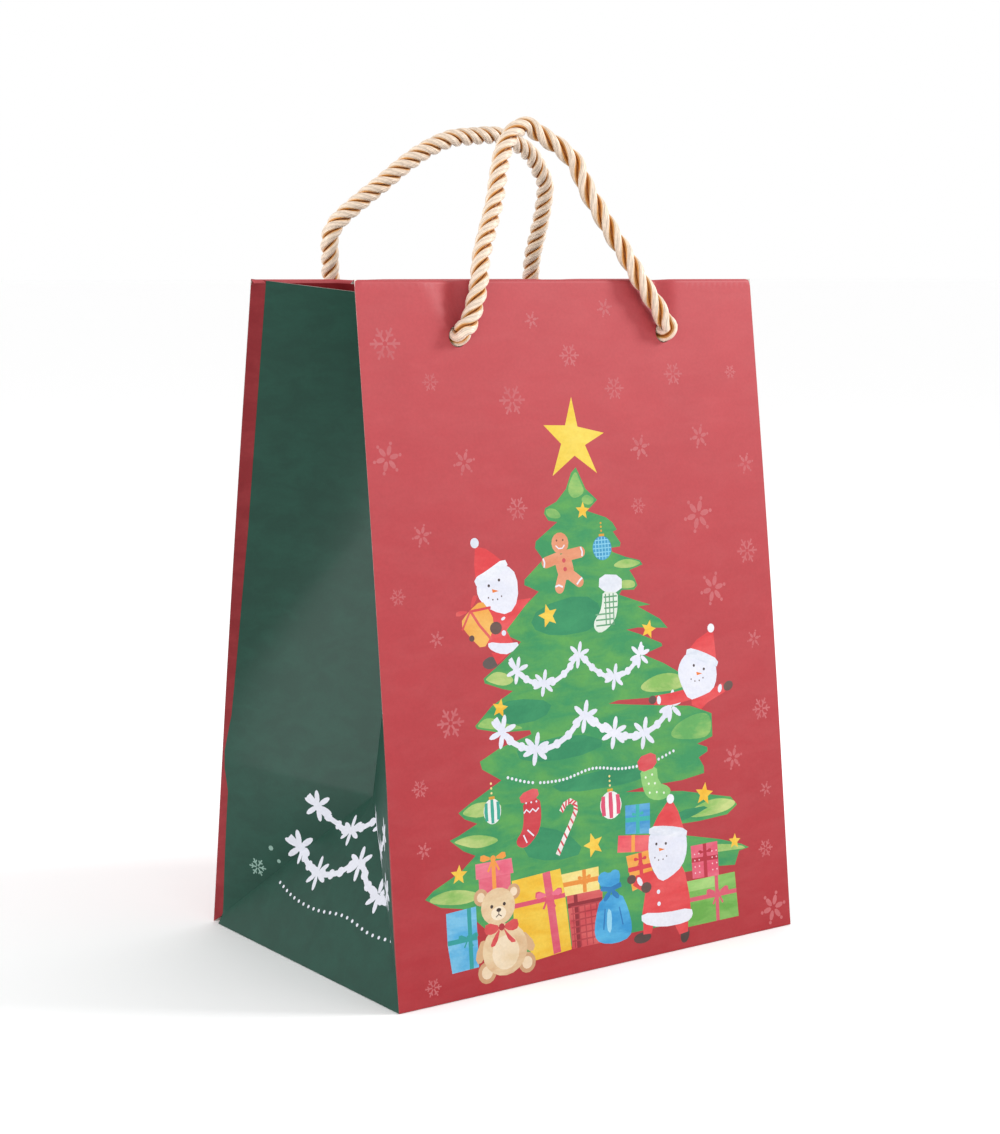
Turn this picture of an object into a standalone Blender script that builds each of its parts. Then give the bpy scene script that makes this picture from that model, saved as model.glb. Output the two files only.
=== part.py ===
"""Paper gift bag with two rope handles.

Origin at the middle of the base, +Z up. The printed front wall faces -Y.
Each wall stands on a crease along its bottom edge and leans inwards, which
pushes the pleated side gussets in. Each rope handle turns about the line
through its two holes.
"""

from math import atan2, cos, radians, sin, sqrt

import bmesh
import bpy
from mathutils import Matrix, Vector

MM = 0.001

# Overall size, in metres
WIDTH = 160 * MM
DEPTH = 118 * MM
HEIGHT = 220 * MM
FRONT_LEAN = 25 * MM  # how far the front rim stands in from the base edge
BACK_LEAN = 30 * MM

# Sheet goods
PAPER = 0.4 * MM
CARD = 0.8 * MM
BOARD = 1.0 * MM
GAP = 0.3 * MM  # between pieces that touch
WALL_MARGIN = 2.1 * MM  # a gusset's edge stops this far short of a wall's edge
HEM_HEIGHT = 32 * MM
WALL_HEM_MARGIN = 9 * MM
GUSSET_HEM_MARGIN = 5.5 * MM
CARD_HEIGHT = 36 * MM
FLAP_WIDTH = 16 * MM
FLAP_MARGIN = 3.3 * MM
FLAP_SHOWN = 5.5 * MM  # the side sheet leaves the seam flap bare this far in

# Rope handles
ROPE_RADIUS = 3.0 * MM
HOLE_RADIUS = 3.3 * MM
HOLE_BELOW_RIM = 17.7 * MM
HOLE_X = (-42.5 * MM, 39.5 * MM)  # both walls are punched together
HINGE_OUT = 3.6 * MM  # the rope's centre stands this far out from the wall
KNOT_RADIUS = 6.6 * MM
KNOT_FLATTEN = 0.8
ROUTE_STEPS = 3  # tube points per route point

# Handle routes in millimetres from the middle between the holes: along the wall
# to the right as seen from outside, inwards, and up the wall
FRONT_ROUTE = [
    (-42.5, 0, 0), (-38.6, 0, 7), (-35.6, 0, 15.5), (-32.6, 1.8, 24.5), (-28, 4, 33),
    (-22.6, 6.7, 42.7), (-18.6, 9.2, 51.7), (-14.6, 11.4, 59.3), (-9.2, 13, 65.4),
    (-3.3, 13.7, 67.8), (2.4, 12.8, 64.6), (8.6, 11.7, 60.6), (12.8, 10.3, 56),
    (15.2, 7.9, 47), (18.2, 5.9, 39.7), (21.4, 3.8, 32), (24.8, 1.9, 25),
    (28.4, 0.1, 17.2), (32.6, 0, 11.3), (36.4, 0, 6), (39.5, 0, 0),
]
BACK_ROUTE = [
    (-39.5, 0, 0), (-37.4, 0, 9), (-35.9, 0, 17), (-35, 1.2, 25.5), (-35.4, 2.7, 33.5),
    (-35.5, 4.2, 41.5), (-34.6, 5.7, 50), (-31, 6.7, 55.3), (-25.6, 7.7, 60.9),
    (-18, 8.4, 64.7), (-9.6, 8.7, 66.7), (0, 8.5, 66), (8.3, 8.4, 64.9),
    (16.6, 7.7, 61.3), (24.4, 6.8, 56), (32, 5.6, 49.5), (40, 4.4, 42.9),
    (46.5, 3.3, 36.8), (48.9, 2.4, 31.5), (47.6, 1, 24), (46.2, 0, 17),
    (44.3, 0, 8.5), (42.5, 0, 0),
]

# Colours (linear red, green, blue) and roughness
RED = ((0.62, 0.10, 0.12), 0.6)
DARK_RED = ((0.27, 0.005, 0.01), 0.6)
GREEN = ((0.02, 0.075, 0.06), 0.6)
GREY_CARD = ((0.45, 0.42, 0.38), 0.9)
ROPE = ((0.78, 0.58, 0.40), 0.45)


# --- Scene and helpers -------------------------------------------------------

for old in list(bpy.data.objects):
    bpy.data.objects.remove(old)

bag = bpy.data.collections.new("gift_bag")
cutters = bpy.data.collections.new("cutters")
bpy.context.scene.collection.children.link(bag)
bpy.context.scene.collection.children.link(cutters)


def make_object(name, mesh, look, parent=None):
    """A named piece with its own material, in the bag's collection."""
    colour, roughness = look
    material = bpy.data.materials.new(name)
    material.use_nodes = True
    shader = material.node_tree.nodes["Principled BSDF"]
    shader.inputs["Base Color"].default_value = (*colour, 1)
    shader.inputs["Roughness"].default_value = roughness
    mesh.materials.clear()
    mesh.materials.append(material)
    piece = bpy.data.objects.new(name, mesh)
    piece.parent = parent
    bag.objects.link(piece)
    return piece


def box_mesh(name, low, high):
    """A box between two corners."""
    low, high = Vector(low), Vector(high)
    bm = bmesh.new()
    bmesh.ops.create_cube(bm, size=1)
    bmesh.ops.scale(bm, vec=high - low, verts=bm.verts)
    bmesh.ops.translate(bm, vec=(low + high) / 2, verts=bm.verts)
    mesh = bpy.data.meshes.new(name)
    bm.to_mesh(mesh)
    bm.free()
    return mesh


def shrink(corners, margins):
    """Corners of a flat outline with side i, from corner i on, moved in by margins[i]."""
    moved = []
    for i, corner in enumerate(corners):
        onward = (corners[(i + 1) % len(corners)] - corner).normalized()
        backward = (corners[i - 1] - corner).normalized()
        spread = onward.cross(backward).length
        moved.append(corner + (onward * margins[i - 1] + backward * margins[i]) / spread)
    return moved


def sheet(name, corners, margins, look, faces=None, depth=0.0):
    """A paper facet. Corners run anticlockwise as seen from outside the bag.

    The paper's outer face lies on the corners, or depth further in.
    """
    points = shrink(corners, margins)
    bm = bmesh.new()
    verts = [bm.verts.new(p) for p in points]
    for face in faces or [range(len(points))]:
        bm.faces.new([verts[i] for i in face])
    bm.normal_update()
    for vert, normal in [(v, v.normal.copy()) for v in bm.verts]:
        vert.co -= normal * depth
    mesh = bpy.data.meshes.new(name)
    bm.to_mesh(mesh)
    bm.free()
    piece = make_object(name, mesh, look)
    solid = piece.modifiers.new("paper", "SOLIDIFY")
    solid.thickness = PAPER
    solid.offset = -1
    return piece


def meet(centres, distances, inwards):
    """The point at three given distances from three points, on the side of inwards."""
    a, b, c = centres
    ra, rb, rc = distances
    x_axis = (b - a).normalized()
    y_axis = ((c - a) - x_axis * (c - a).dot(x_axis)).normalized()
    z_axis = x_axis.cross(y_axis)
    d = (b - a).length
    e, f = (c - a).dot(x_axis), (c - a).dot(y_axis)
    x = (ra**2 - rb**2 + d**2) / (2 * d)
    y = (ra**2 - rc**2 + e**2 + f**2 - 2 * e * x) / (2 * f)
    z = sqrt(max(ra**2 - x**2 - y**2, 0))
    side = 1 if z_axis.dot(inwards) > 0 else -1
    return a + x_axis * x + y_axis * y + z_axis * (z * side)


# --- Base: four glued flaps and a loose board --------------------------------

BASE_X = WIDTH / 2 - 2.0 * MM
BASE_Y = DEPTH / 2 - 1.0 * MM
LONG_FLAP = 65 * MM
SHORT_FLAP = 45 * MM

layer = 0.0
for name, low, high in (
    ("base_flap_back", (-BASE_X, BASE_Y - LONG_FLAP), (BASE_X, BASE_Y)),
    ("base_flap_front", (-BASE_X, -BASE_Y), (BASE_X, LONG_FLAP - BASE_Y)),
):
    make_object(name, box_mesh(name, (*low, layer), (*high, layer + PAPER)), RED)
    layer += PAPER + GAP
for name, side in (("base_flap_left", -1), ("base_flap_right", 1)):
    ends = sorted((side * BASE_X, side * (BASE_X - SHORT_FLAP)))
    low = (ends[0], -BASE_Y, layer)
    high = (ends[1], BASE_Y, layer + PAPER)
    make_object(name, box_mesh(name, low, high), GREEN)
layer += PAPER + GAP
BOARD_X = WIDTH / 2 - 4 * MM
BOARD_Y = DEPTH / 2 - 2 * MM
board = box_mesh("base_board", (-BOARD_X, -BOARD_Y, layer), (BOARD_X, BOARD_Y, layer + BOARD))
make_object("base_board", board, GREY_CARD)


# --- Front and back walls ----------------------------------------------------


def wall(side, lean, turn):
    """A wall's panel, card, turned-in hem and knots, under an empty on its crease.

    The empty's X runs to the right as seen from outside, Y inwards and Z up the wall.
    """
    length = sqrt(HEIGHT**2 + lean**2)
    crease = bpy.data.objects.new(side + "_crease", None)
    crease.location = (0, -cos(turn) * DEPTH / 2, 0)
    crease.rotation_euler = (-atan2(lean, HEIGHT), 0, turn)
    bag.objects.link(crease)

    holes = [x * cos(turn) for x in HOLE_X]
    hole_z = length - HOLE_BELOW_RIM
    layers = [
        ("panel", PAPER, 0, PAPER, length, RED),
        ("card", CARD, WALL_HEM_MARGIN, length - CARD_HEIGHT, length - GAP * 3, GREY_CARD),
        ("hem", PAPER, WALL_HEM_MARGIN, length - HEM_HEIGHT, length - GAP, DARK_RED),
    ]
    cutter_mesh = bpy.data.meshes.new(side + "_hole_cutters")
    bm = bmesh.new()
    for x in holes:
        place = Matrix.Translation((x, 0, hole_z)) @ Matrix.Rotation(radians(90), 4, "X")
        bmesh.ops.create_cone(
            bm, cap_ends=True, segments=24, radius1=HOLE_RADIUS, radius2=HOLE_RADIUS,
            depth=20 * MM, matrix=place,
        )
    bm.to_mesh(cutter_mesh)
    bm.free()
    cutter = bpy.data.objects.new(side + "_hole_cutters", cutter_mesh)
    cutter.parent = crease
    cutter.hide_render = True
    cutter.display_type = "WIRE"
    cutters.objects.link(cutter)

    inner = 0.0
    for label, thickness, margin, bottom, top, look in layers:
        name = side + "_" + label
        low = (margin - WIDTH / 2, inner, bottom)
        high = (WIDTH / 2 - margin, inner + thickness, top)
        piece = make_object(name, box_mesh(name, low, high), look, crease)
        cut = piece.modifiers.new("holes", "BOOLEAN")
        cut.operation = "DIFFERENCE"
        cut.object = cutter
        inner += thickness + GAP

    stub_out = 0.2 * MM
    centre_y = inner + KNOT_RADIUS * KNOT_FLATTEN
    for label, x in zip(("left", "right"), holes):
        name = side + "_knot_" + label
        bm = bmesh.new()
        bmesh.ops.create_cone(
            bm, cap_ends=True, segments=16, radius1=ROPE_RADIUS, radius2=ROPE_RADIUS,
            depth=centre_y + stub_out,
            matrix=Matrix.Translation((x, (centre_y - stub_out) / 2, hole_z))
            @ Matrix.Rotation(radians(90), 4, "X"),
        )
        stub_mesh = bpy.data.meshes.new(name + "_stub")
        bm.to_mesh(stub_mesh)
        bm.free()
        stub = bpy.data.objects.new(name + "_stub", stub_mesh)
        stub.parent = crease
        stub.hide_render = True
        stub.display_type = "WIRE"
        cutters.objects.link(stub)
        bm = bmesh.new()
        bmesh.ops.create_uvsphere(
            bm, u_segments=20, v_segments=12, radius=KNOT_RADIUS,
            matrix=Matrix.Translation((x, centre_y, hole_z))
            @ Matrix.Diagonal((1, KNOT_FLATTEN, 1, 1)),
        )
        knot_mesh = bpy.data.meshes.new(name)
        bm.to_mesh(knot_mesh)
        bm.free()
        knot = make_object(name, knot_mesh, ROPE, crease)
        knot.data.shade_smooth()
        join = knot.modifiers.new("stub", "BOOLEAN")
        join.operation = "UNION"
        join.object = stub
    return crease, hole_z


def smooth_route(route):
    """Points along a Catmull-Rom curve through the route, in metres."""
    points = [Vector(p) * MM for p in route]
    ends = [2 * points[0] - points[1], *points, 2 * points[-1] - points[-2]]
    curve = []
    for p0, p1, p2, p3 in zip(ends, ends[1:], ends[2:], ends[3:]):
        for step in range(ROUTE_STEPS):
            t = step / ROUTE_STEPS
            bend = 2 * p0 - 5 * p1 + 4 * p2 - p3
            twist = 3 * p1 - p0 - 3 * p2 + p3
            curve.append(p1 + 0.5 * ((p2 - p0) * t + bend * t * t + twist * t**3))
    return [*curve, points[-1]]


def handle(name, route, crease, hole_z):
    """A rope loop whose origin is on the line through its two holes.

    Each end is a half ball centred on that line, so the loop turns without
    touching the knot's stub.
    """
    path = smooth_route(route)
    ball = [radians(a) for a in (85, 60, 35)]
    down = [(path[0] - path[1]).normalized(), (path[-1] - path[-2]).normalized()]
    start = [(path[0] + down[0] * ROPE_RADIUS * sin(a), cos(a)) for a in ball]
    stop = [(path[-1] + down[1] * ROPE_RADIUS * sin(a), cos(a)) for a in reversed(ball)]
    points = [*start, *[(p, 1.0) for p in path], *stop]

    curve = bpy.data.curves.new(name, "CURVE")
    curve.dimensions = "3D"
    curve.bevel_depth = ROPE_RADIUS
    curve.bevel_resolution = 4
    curve.use_fill_caps = True
    spline = curve.splines.new("POLY")
    spline.points.add(len(points) - 1)
    for point, (place, radius) in zip(spline.points, points):
        point.co = (*place, 1)
        point.radius = radius
    rope = bpy.data.objects.new(name + "_curve", curve)
    bag.objects.link(rope)
    seen = rope.evaluated_get(bpy.context.evaluated_depsgraph_get())
    mesh = bpy.data.meshes.new_from_object(seen)
    bpy.data.objects.remove(rope)
    bm = bmesh.new()
    bm.from_mesh(mesh)
    bmesh.ops.remove_doubles(bm, verts=bm.verts, dist=0.01 * MM)
    bm.to_mesh(mesh)
    bm.free()
    mesh.name = name
    loop = make_object(name, mesh, ROPE, crease)
    loop.location = (0, -HINGE_OUT, hole_z)
    loop.data.shade_smooth()
    loop.data.set_sharp_from_angle(angle=radians(40))


front_crease, front_hole_z = wall("front", FRONT_LEAN, 0.0)
back_crease, back_hole_z = wall("back", BACK_LEAN, radians(180))
handle("front_handle", FRONT_ROUTE, front_crease, front_hole_z)
handle("back_handle", BACK_ROUTE, back_crease, back_hole_z)


# --- Side gussets ------------------------------------------------------------

HALF = DEPTH / 2  # half a gusset's width, and the height of its level crease


def along(start, end, distance):
    """The point a distance from start towards end."""
    return start + (end - start).normalized() * distance


def gusset(side, across):
    """A pleated side: one lower triangle and two lower corners that fold in, two
    upper halves that meet at a crease pushed into the bag, and their hems.

    across is -1 on the left and +1 on the right.
    """
    edge = across * WIDTH / 2
    foot = {
        "front": Vector((edge, -HALF, 0)),
        "back": Vector((edge, HALF, 0)),
    }
    rim = {
        "front": Vector((edge, FRONT_LEAN - HALF, HEIGHT)),
        "back": Vector((edge, HALF - BACK_LEAN, HEIGHT)),
    }
    fold = {w: along(foot[w], rim[w], HALF) for w in foot}
    inwards = Vector((-across, 0, 0))
    centre = meet((fold["front"], fold["back"], Vector((edge, 0, 0))), (HALF,) * 3, inwards)
    upper = (rim["front"] - fold["front"]).length
    peak = meet((rim["front"], rim["back"], centre), (HALF, HALF, upper), inwards)

    def facet(name, corners, margins, faces=None, look=GREEN, depth=0.0):
        """A sheet whose corners, margins and faces are turned to face outwards."""
        normal = (corners[1] - corners[0]).cross(corners[2] - corners[0])
        if normal.dot(inwards) > 0:
            corners = [corners[0], *reversed(corners[1:])]
            margins = list(reversed(margins))
            faces = faces and [[-i % len(corners) for i in reversed(f)] for f in faces]
        sheet(name, corners, margins, look, faces, depth)

    facet(
        side + "_gusset_base",
        [foot["front"], centre, foot["back"]],
        [GAP, GAP, 2 * GAP],
    )
    for w in ("front", "back"):
        facet(
            f"{side}_gusset_{w}_corner",
            [foot[w], fold[w], centre],
            [WALL_MARGIN, GAP, GAP],
        )
        seam = side == "left" and w == "back"
        edge_margin = FLAP_SHOWN if seam else WALL_MARGIN
        facet(
            f"{side}_gusset_{w}_upper",
            [fold[w], centre, peak, rim[w]],
            [GAP, GAP, GAP, edge_margin],
            [(0, 1, 2), (0, 2, 3)],
        )
        facet(
            f"{side}_gusset_{w}_hem",
            [along(rim[w], fold[w], HEM_HEIGHT), peak.lerp(fold[w], HEM_HEIGHT / upper),
             along(peak, centre, HEM_HEIGHT), peak, rim[w]],
            [0, 0, 3 * GAP, GAP, GUSSET_HEM_MARGIN],
            [(0, 1, 3, 4), (1, 2, 3)],
            DARK_RED,
            2 * (PAPER + GAP),
        )
    if side == "left":
        share = FLAP_WIDTH / HALF
        facet(
            "seam_flap",
            [fold["back"], fold["back"].lerp(centre, share), fold["back"].lerp(peak, share),
             rim["back"].lerp(peak, share), rim["back"]],
            [GAP, 0, 0, GAP, FLAP_MARGIN],
            [(0, 1, 2), (0, 2, 3, 4)],
            RED,
            PAPER + GAP,
        )


gusset("left", -1)
gusset("right", 1)
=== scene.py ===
"""Looks of the paper gift bag: printed paper walls and gussets, satin rope handles.

Lengths in the lists are millimetres; everything reaches Blender in metres.
"""

from math import atan2, cos, hypot, pi, radians, sin, sqrt

import bpy
from mathutils import Matrix, Vector
from mathutils.geometry import delaunay_2d_cdt


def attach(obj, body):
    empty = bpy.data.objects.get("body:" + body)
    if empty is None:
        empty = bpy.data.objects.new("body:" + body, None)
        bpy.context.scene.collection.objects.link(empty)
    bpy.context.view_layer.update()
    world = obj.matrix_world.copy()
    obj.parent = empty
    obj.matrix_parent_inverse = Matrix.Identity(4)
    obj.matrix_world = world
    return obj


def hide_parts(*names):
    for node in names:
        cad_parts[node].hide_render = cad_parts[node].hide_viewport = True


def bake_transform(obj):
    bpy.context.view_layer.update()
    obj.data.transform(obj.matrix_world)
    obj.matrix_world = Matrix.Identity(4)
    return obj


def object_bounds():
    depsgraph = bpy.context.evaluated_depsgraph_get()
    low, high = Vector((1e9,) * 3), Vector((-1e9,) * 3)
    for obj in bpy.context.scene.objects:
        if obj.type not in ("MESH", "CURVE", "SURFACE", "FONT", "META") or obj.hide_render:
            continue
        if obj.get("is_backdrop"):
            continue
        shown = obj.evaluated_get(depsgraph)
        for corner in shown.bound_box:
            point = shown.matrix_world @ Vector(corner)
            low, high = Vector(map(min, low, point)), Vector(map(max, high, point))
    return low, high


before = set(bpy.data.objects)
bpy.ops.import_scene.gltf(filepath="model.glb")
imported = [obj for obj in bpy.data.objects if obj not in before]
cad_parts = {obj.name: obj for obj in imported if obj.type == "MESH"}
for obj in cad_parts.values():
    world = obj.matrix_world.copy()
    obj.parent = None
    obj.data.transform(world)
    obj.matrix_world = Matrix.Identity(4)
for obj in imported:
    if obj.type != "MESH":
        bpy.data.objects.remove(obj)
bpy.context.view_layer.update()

scene = bpy.context.scene
MM = 0.001


# --- Camera ------------------------------------------------------------------
# A long lens at the height of the rim, off the front left corner and tipped a
# little down, so the uprights stay nearly parallel.

lens = bpy.data.cameras.new("camera")
lens.sensor_fit = "HORIZONTAL"
lens.sensor_width = 36.0
lens.lens = 79.26
camera = bpy.data.objects.new("camera", lens)
camera.location = (-0.4271, -0.5992, 0.2218)
camera.rotation_euler = (radians(82.4), 0, radians(-35.44))
scene.collection.objects.link(camera)
scene.camera = camera
scene.view_settings.view_transform = "Standard"  # a hex colour shows as written


# --- Rope handles ------------------------------------------------------------
# Twisted satin cord: three strands of fine rayon yarn, laid loosely round a
# golden core that shows in the grooves. Each end goes through a punched hole
# and is knotted inside; the loop and its two stubs share one line of strands.

WIDTH = 160.0
DEPTH = 118.0
HEIGHT = 220.0
LEAN = {"front": 25.0, "back": 30.0}
TURN = {"front": 0.0, "back": pi}
LENGTH = {side: hypot(HEIGHT, LEAN[side]) for side in LEAN}
HOLE_BELOW_RIM = 17.7
HINGE_OUT = 3.6
STRAND_RADIUS = 1.27
STRAND_OFFSET = 1.72
CORE_RADIUS = 1.2
YARNS = 13  # yarns round one strand
RING_POINTS = 52
ROPE_STEP = 0.6

# Along the wall to the right as seen from outside, inwards, and up the wall,
# from the middle between the holes, a little out from the wall
FRONT_ROUTE = [
    (-42.5, 0, 0), (-38.6, 0, 7), (-35.6, 0, 15.5), (-32.6, 1.8, 24.5), (-28, 4, 33),
    (-22.6, 6.7, 42.7), (-18.6, 9.2, 51.7), (-14.6, 11.4, 59.3), (-9.2, 13, 65.4),
    (-3.3, 13.7, 67.8), (2.4, 12.8, 64.6), (8.6, 11.7, 60.6), (12.8, 10.3, 56),
    (15.2, 7.9, 47), (18.2, 5.9, 39.7), (21.4, 3.8, 32), (24.8, 1.9, 25),
    (28.4, 0.1, 17.2), (32.6, 0, 11.3), (36.4, 0, 6), (39.5, 0, 0),
]
BACK_ROUTE = [
    (-39.5, 0, 0), (-37.4, 0, 9), (-35.9, 0, 17), (-35, 1.2, 25.5), (-35.4, 2.7, 33.5),
    (-35.5, 4.2, 41.5), (-34.6, 5.7, 50), (-31, 6.7, 55.3), (-25.6, 7.7, 60.9),
    (-18, 8.4, 64.7), (-9.6, 8.7, 66.7), (0, 8.5, 66), (8.3, 8.4, 64.9),
    (16.6, 7.7, 61.3), (24.4, 6.8, 56), (32, 5.6, 49.5), (40, 4.4, 42.9),
    (46.5, 3.3, 36.8), (48.9, 2.4, 31.5), (47.6, 1, 24), (46.2, 0, 17),
    (44.3, 0, 8.5), (42.5, 0, 0),
]
# Millimetres of rope to one turn of its strands, by the share of the loop passed
FRONT_LAY = [(0.0, 15.5), (0.5, 16.0), (0.62, 24.0), (1.0, 22.0)]
BACK_LAY = [(0.0, 12.5), (0.3, 13.0), (1.0, 13.5)]


def linear(colour):
    """An sRGB hex colour as linear red, green, blue and alpha."""
    parts = [int(colour[i : i + 2], 16) / 255 for i in (1, 3, 5)]
    return (*[c / 12.92 if c <= 0.04045 else ((c + 0.055) / 1.055) ** 2.4 for c in parts], 1.0)


def add(tree, kind, settings=None, inputs=None):
    """Adds a node, with its settings, and its inputs as values or links."""
    made = tree.nodes.new("ShaderNode" + kind)
    for key, value in (settings or {}).items():
        setattr(made, key, value)
    for key, value in (inputs or {}).items():
        if isinstance(value, bpy.types.NodeSocket):
            tree.links.new(value, made.inputs[key])
        else:
            made.inputs[key].default_value = value
    return made


def ramp(tree, factor, stops):
    """A colour ramp with stops of position and hex colour."""
    made = add(tree, "ValToRGB", inputs={"Fac": factor})
    made.color_ramp.elements.remove(made.color_ramp.elements[1])
    for i, (place, colour) in enumerate(stops):
        element = made.color_ramp.elements[0] if i == 0 else made.color_ramp.elements.new(place)
        element.position = place
        element.color = linear(colour)
    return made.outputs["Color"]


def new_material(name, **values):
    """A material, its tree and its shader, with the shader's own values set."""
    material = bpy.data.materials.new(name)
    material.use_nodes = True
    shader = material.node_tree.nodes["Principled BSDF"]
    for key, value in values.items():
        shader.inputs[key.replace("_", " ")].default_value = value
    return material, material.node_tree, shader


def make_piece(name, points, faces, materials, numbers=None, smooth=True):
    """A mesh object, with a number for each point stored under each name given."""
    mesh = bpy.data.meshes.new(name)
    mesh.from_pydata([tuple(p) for p in points], [], faces)
    for material in materials:
        mesh.materials.append(material)
    for key, values in (numbers or {}).items():
        mesh.attributes.new(key, "FLOAT", "POINT").data.foreach_set("value", values)
    mesh.polygons.foreach_set("use_smooth", [smooth] * len(mesh.polygons))
    piece = bpy.data.objects.new(name, mesh)
    scene.collection.objects.link(piece)
    return piece


# Satin cord: bright rayon with a soft sheen along the yarns. Its colour holds painted shade:
# pale on the strands' crowns, darker gold down into the grooves, with darker lines between the yarns.
satin_cord, tree, shader = new_material(
    "satin_cord", Roughness=0.32, IOR=1.5, Sheen_Weight=0.25, Sheen_Roughness=0.4
)
groove = add(tree, "Attribute", {"attribute_name": "groove"}).outputs["Fac"]
yarn = add(tree, "Attribute", {"attribute_name": "yarn"}).outputs["Fac"]
place = add(tree, "TexCoord").outputs["Object"]
fuzz = add(tree, "TexNoise", inputs={"Vector": place, "Scale": 1 / (1.4 * MM), "Detail": 3.0})
# Painted shade by depth into the grooves; only the core's gold is its own colour
depth = ramp(tree, groove, [(0.0, "#f1dcc6"), (0.22, "#ebcba6"), (0.45, "#dd9c4c"), (1.0, "#b5660f")])
# Painted shade: darker lines between the yarns and uneven painted light bands round each strand
yarn_painted_shade = add(tree, "MapRange", inputs={"Value": yarn, "From Min": -1.0, "From Max": 0.5, "To Min": 0.6})
tone = add(
    tree, "MapRange",
    inputs={"Value": fuzz.outputs["Fac"], "From Min": 0.3, "From Max": 0.7, "To Min": 0.9, "To Max": 1.05},
)
shade = add(
    tree, "Math", {"operation": "MULTIPLY"},
    {0: yarn_painted_shade.outputs["Result"], 1: tone.outputs["Result"]},
)
cord_colour = add(
    tree, "Mix", {"data_type": "RGBA", "blend_type": "MULTIPLY"},
    {0: 1.0, 6: depth, 7: shade.outputs["Value"]},
)
tree.links.new(cord_colour.outputs[2], shader.inputs["Base Color"])
fibre = add(
    tree, "Bump", inputs={"Strength": 0.35, "Distance": 0.1 * MM, "Height": fuzz.outputs["Fac"]}
)
tree.links.new(fibre.outputs["Normal"], shader.inputs["Normal"])


def curve_through(points, step):
    """Points about step apart on a Catmull-Rom curve through the given ones."""
    points = [Vector(p) for p in points]
    ends = [2 * points[0] - points[1], *points, 2 * points[-1] - points[-2]]
    curve = []
    for p0, p1, p2, p3 in zip(ends, ends[1:], ends[2:], ends[3:]):
        count = max(1, round((p2 - p1).length / step))
        for i in range(count):
            t = i / count
            bend = 2 * p0 - 5 * p1 + 4 * p2 - p3
            twist = 3 * p1 - p0 - 3 * p2 + p3
            curve.append(p1 + 0.5 * ((p2 - p0) * t + bend * t * t + twist * t**3))
    return [*curve, points[-1]]


def between(stops, at):
    """The value at a place, from stops of place and value in rising order."""
    for (a, low), (b, high) in zip(stops, stops[1:]):
        if at <= b:
            return low + (high - low) * max(0.0, (at - a) / (b - a))
    return stops[-1][1]


def lay_strands(path, lay_at, phase=0.0):
    """Where each ring of a laid cord sits: spot, two directions, turn, run and lay."""
    tangent = (path[1] - path[0]).normalized()
    side = tangent.orthogonal().normalized()
    run, turn, rings = 0.0, phase, []
    for i, spot in enumerate(path):
        onward = (path[min(i + 1, len(path) - 1)] - path[max(i - 1, 0)]).normalized()
        side = (side - onward * side.dot(onward)).normalized()
        if i:
            run += (spot - path[i - 1]).length
            turn += 2 * pi * (spot - path[i - 1]).length / lay_at(run)
        rings.append((spot, side, onward.cross(side), turn, run, lay_at(run)))
    return rings


def cord_mesh(parts, rings, size=1.0, scale_at=lambda run: 1.0):
    """Adds three laid strands and their core. parts collects points, faces, groove, yarn."""
    points, faces, grooves, yarns = parts
    for strand in range(4):
        first = len(points)
        core = strand == 3
        count = 10 if core else RING_POINTS
        for spot, side, up, turn, run, lay in rings:
            scale = size * scale_at(run)
            angle = turn + strand * 2 * pi / 3
            out = side * cos(angle) + up * sin(angle)
            across = up * cos(angle) - side * sin(angle)
            stretch = 1.0 if core else hypot(1, 2 * pi * STRAND_OFFSET * size / lay)
            for k in range(count):
                around = 2 * pi * k / count
                ridge = cos(YARNS * around + 2.2 * turn)
                radius = CORE_RADIUS if core else STRAND_RADIUS * (1 + 0.06 * ridge)
                away = (0 if core else STRAND_OFFSET) + radius * cos(around)
                sideways = radius * sin(around) * stretch
                points.append((spot + (out * away + across * sideways) * scale) * MM)
                reach = hypot(away, sideways)
                # groove: how far down into the grooves a point lies, for the painted shade there; the core
                # counts as fully in
                grooves.append(1.0 if core else min(1.0, max(0.0, (2.68 - reach) / 1.0)))
                # yarn: the painted shade lines between yarns and painted light bands round the strand
                yarns.append(0.0 if core else 0.65 * ridge + 0.45 * cos(4 * around - 1.3 * turn))
        for r in range(len(rings) - 1):
            for k in range(count):
                a, b = first + r * count + k, first + r * count + (k + 1) % count
                faces.append((a, b, b + count, a + count))
        last = first + (len(rings) - 1) * count
        faces.append(tuple(first + k for k in reversed(range(count))))
        faces.append(tuple(last + k for k in range(count)))


def crease(side):
    """Where a wall's bottom edge is: right as seen from outside, inwards, up."""
    out = -cos(TURN[side]) * DEPTH / 2 * MM
    tilt = -atan2(LEAN[side], HEIGHT)
    return (
        Matrix.Translation((0, out, 0))
        @ Matrix.Rotation(TURN[side], 4, "Z")
        @ Matrix.Rotation(tilt, 4, "X")
    )


def cord_piece(name, parts, side):
    """A cord's parts as a piece, moved from the wall's hinge line into place."""
    points, faces, grooves, yarns = parts
    place = crease(side) @ Matrix.Translation(
        (0, -HINGE_OUT * MM, (LENGTH[side] - HOLE_BELOW_RIM) * MM)
    )
    return make_piece(
        name, [place @ p for p in points], faces, [satin_cord], {"groove": grooves, "yarn": yarns}
    )


ELBOW = [(0, 11, 0), (0, 7, 0), (0, 3.4, 0.05), (0, 1.3, 0.5), (0.15, 0.25, 1.7)]
BALL = 3.0  # each piece closes like a ball over this length past the hinge
KNOT_SCALE = 1.3
KNOT_SIZE = 0.72
KNOT_IN = HINGE_OUT + 7.5

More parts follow.
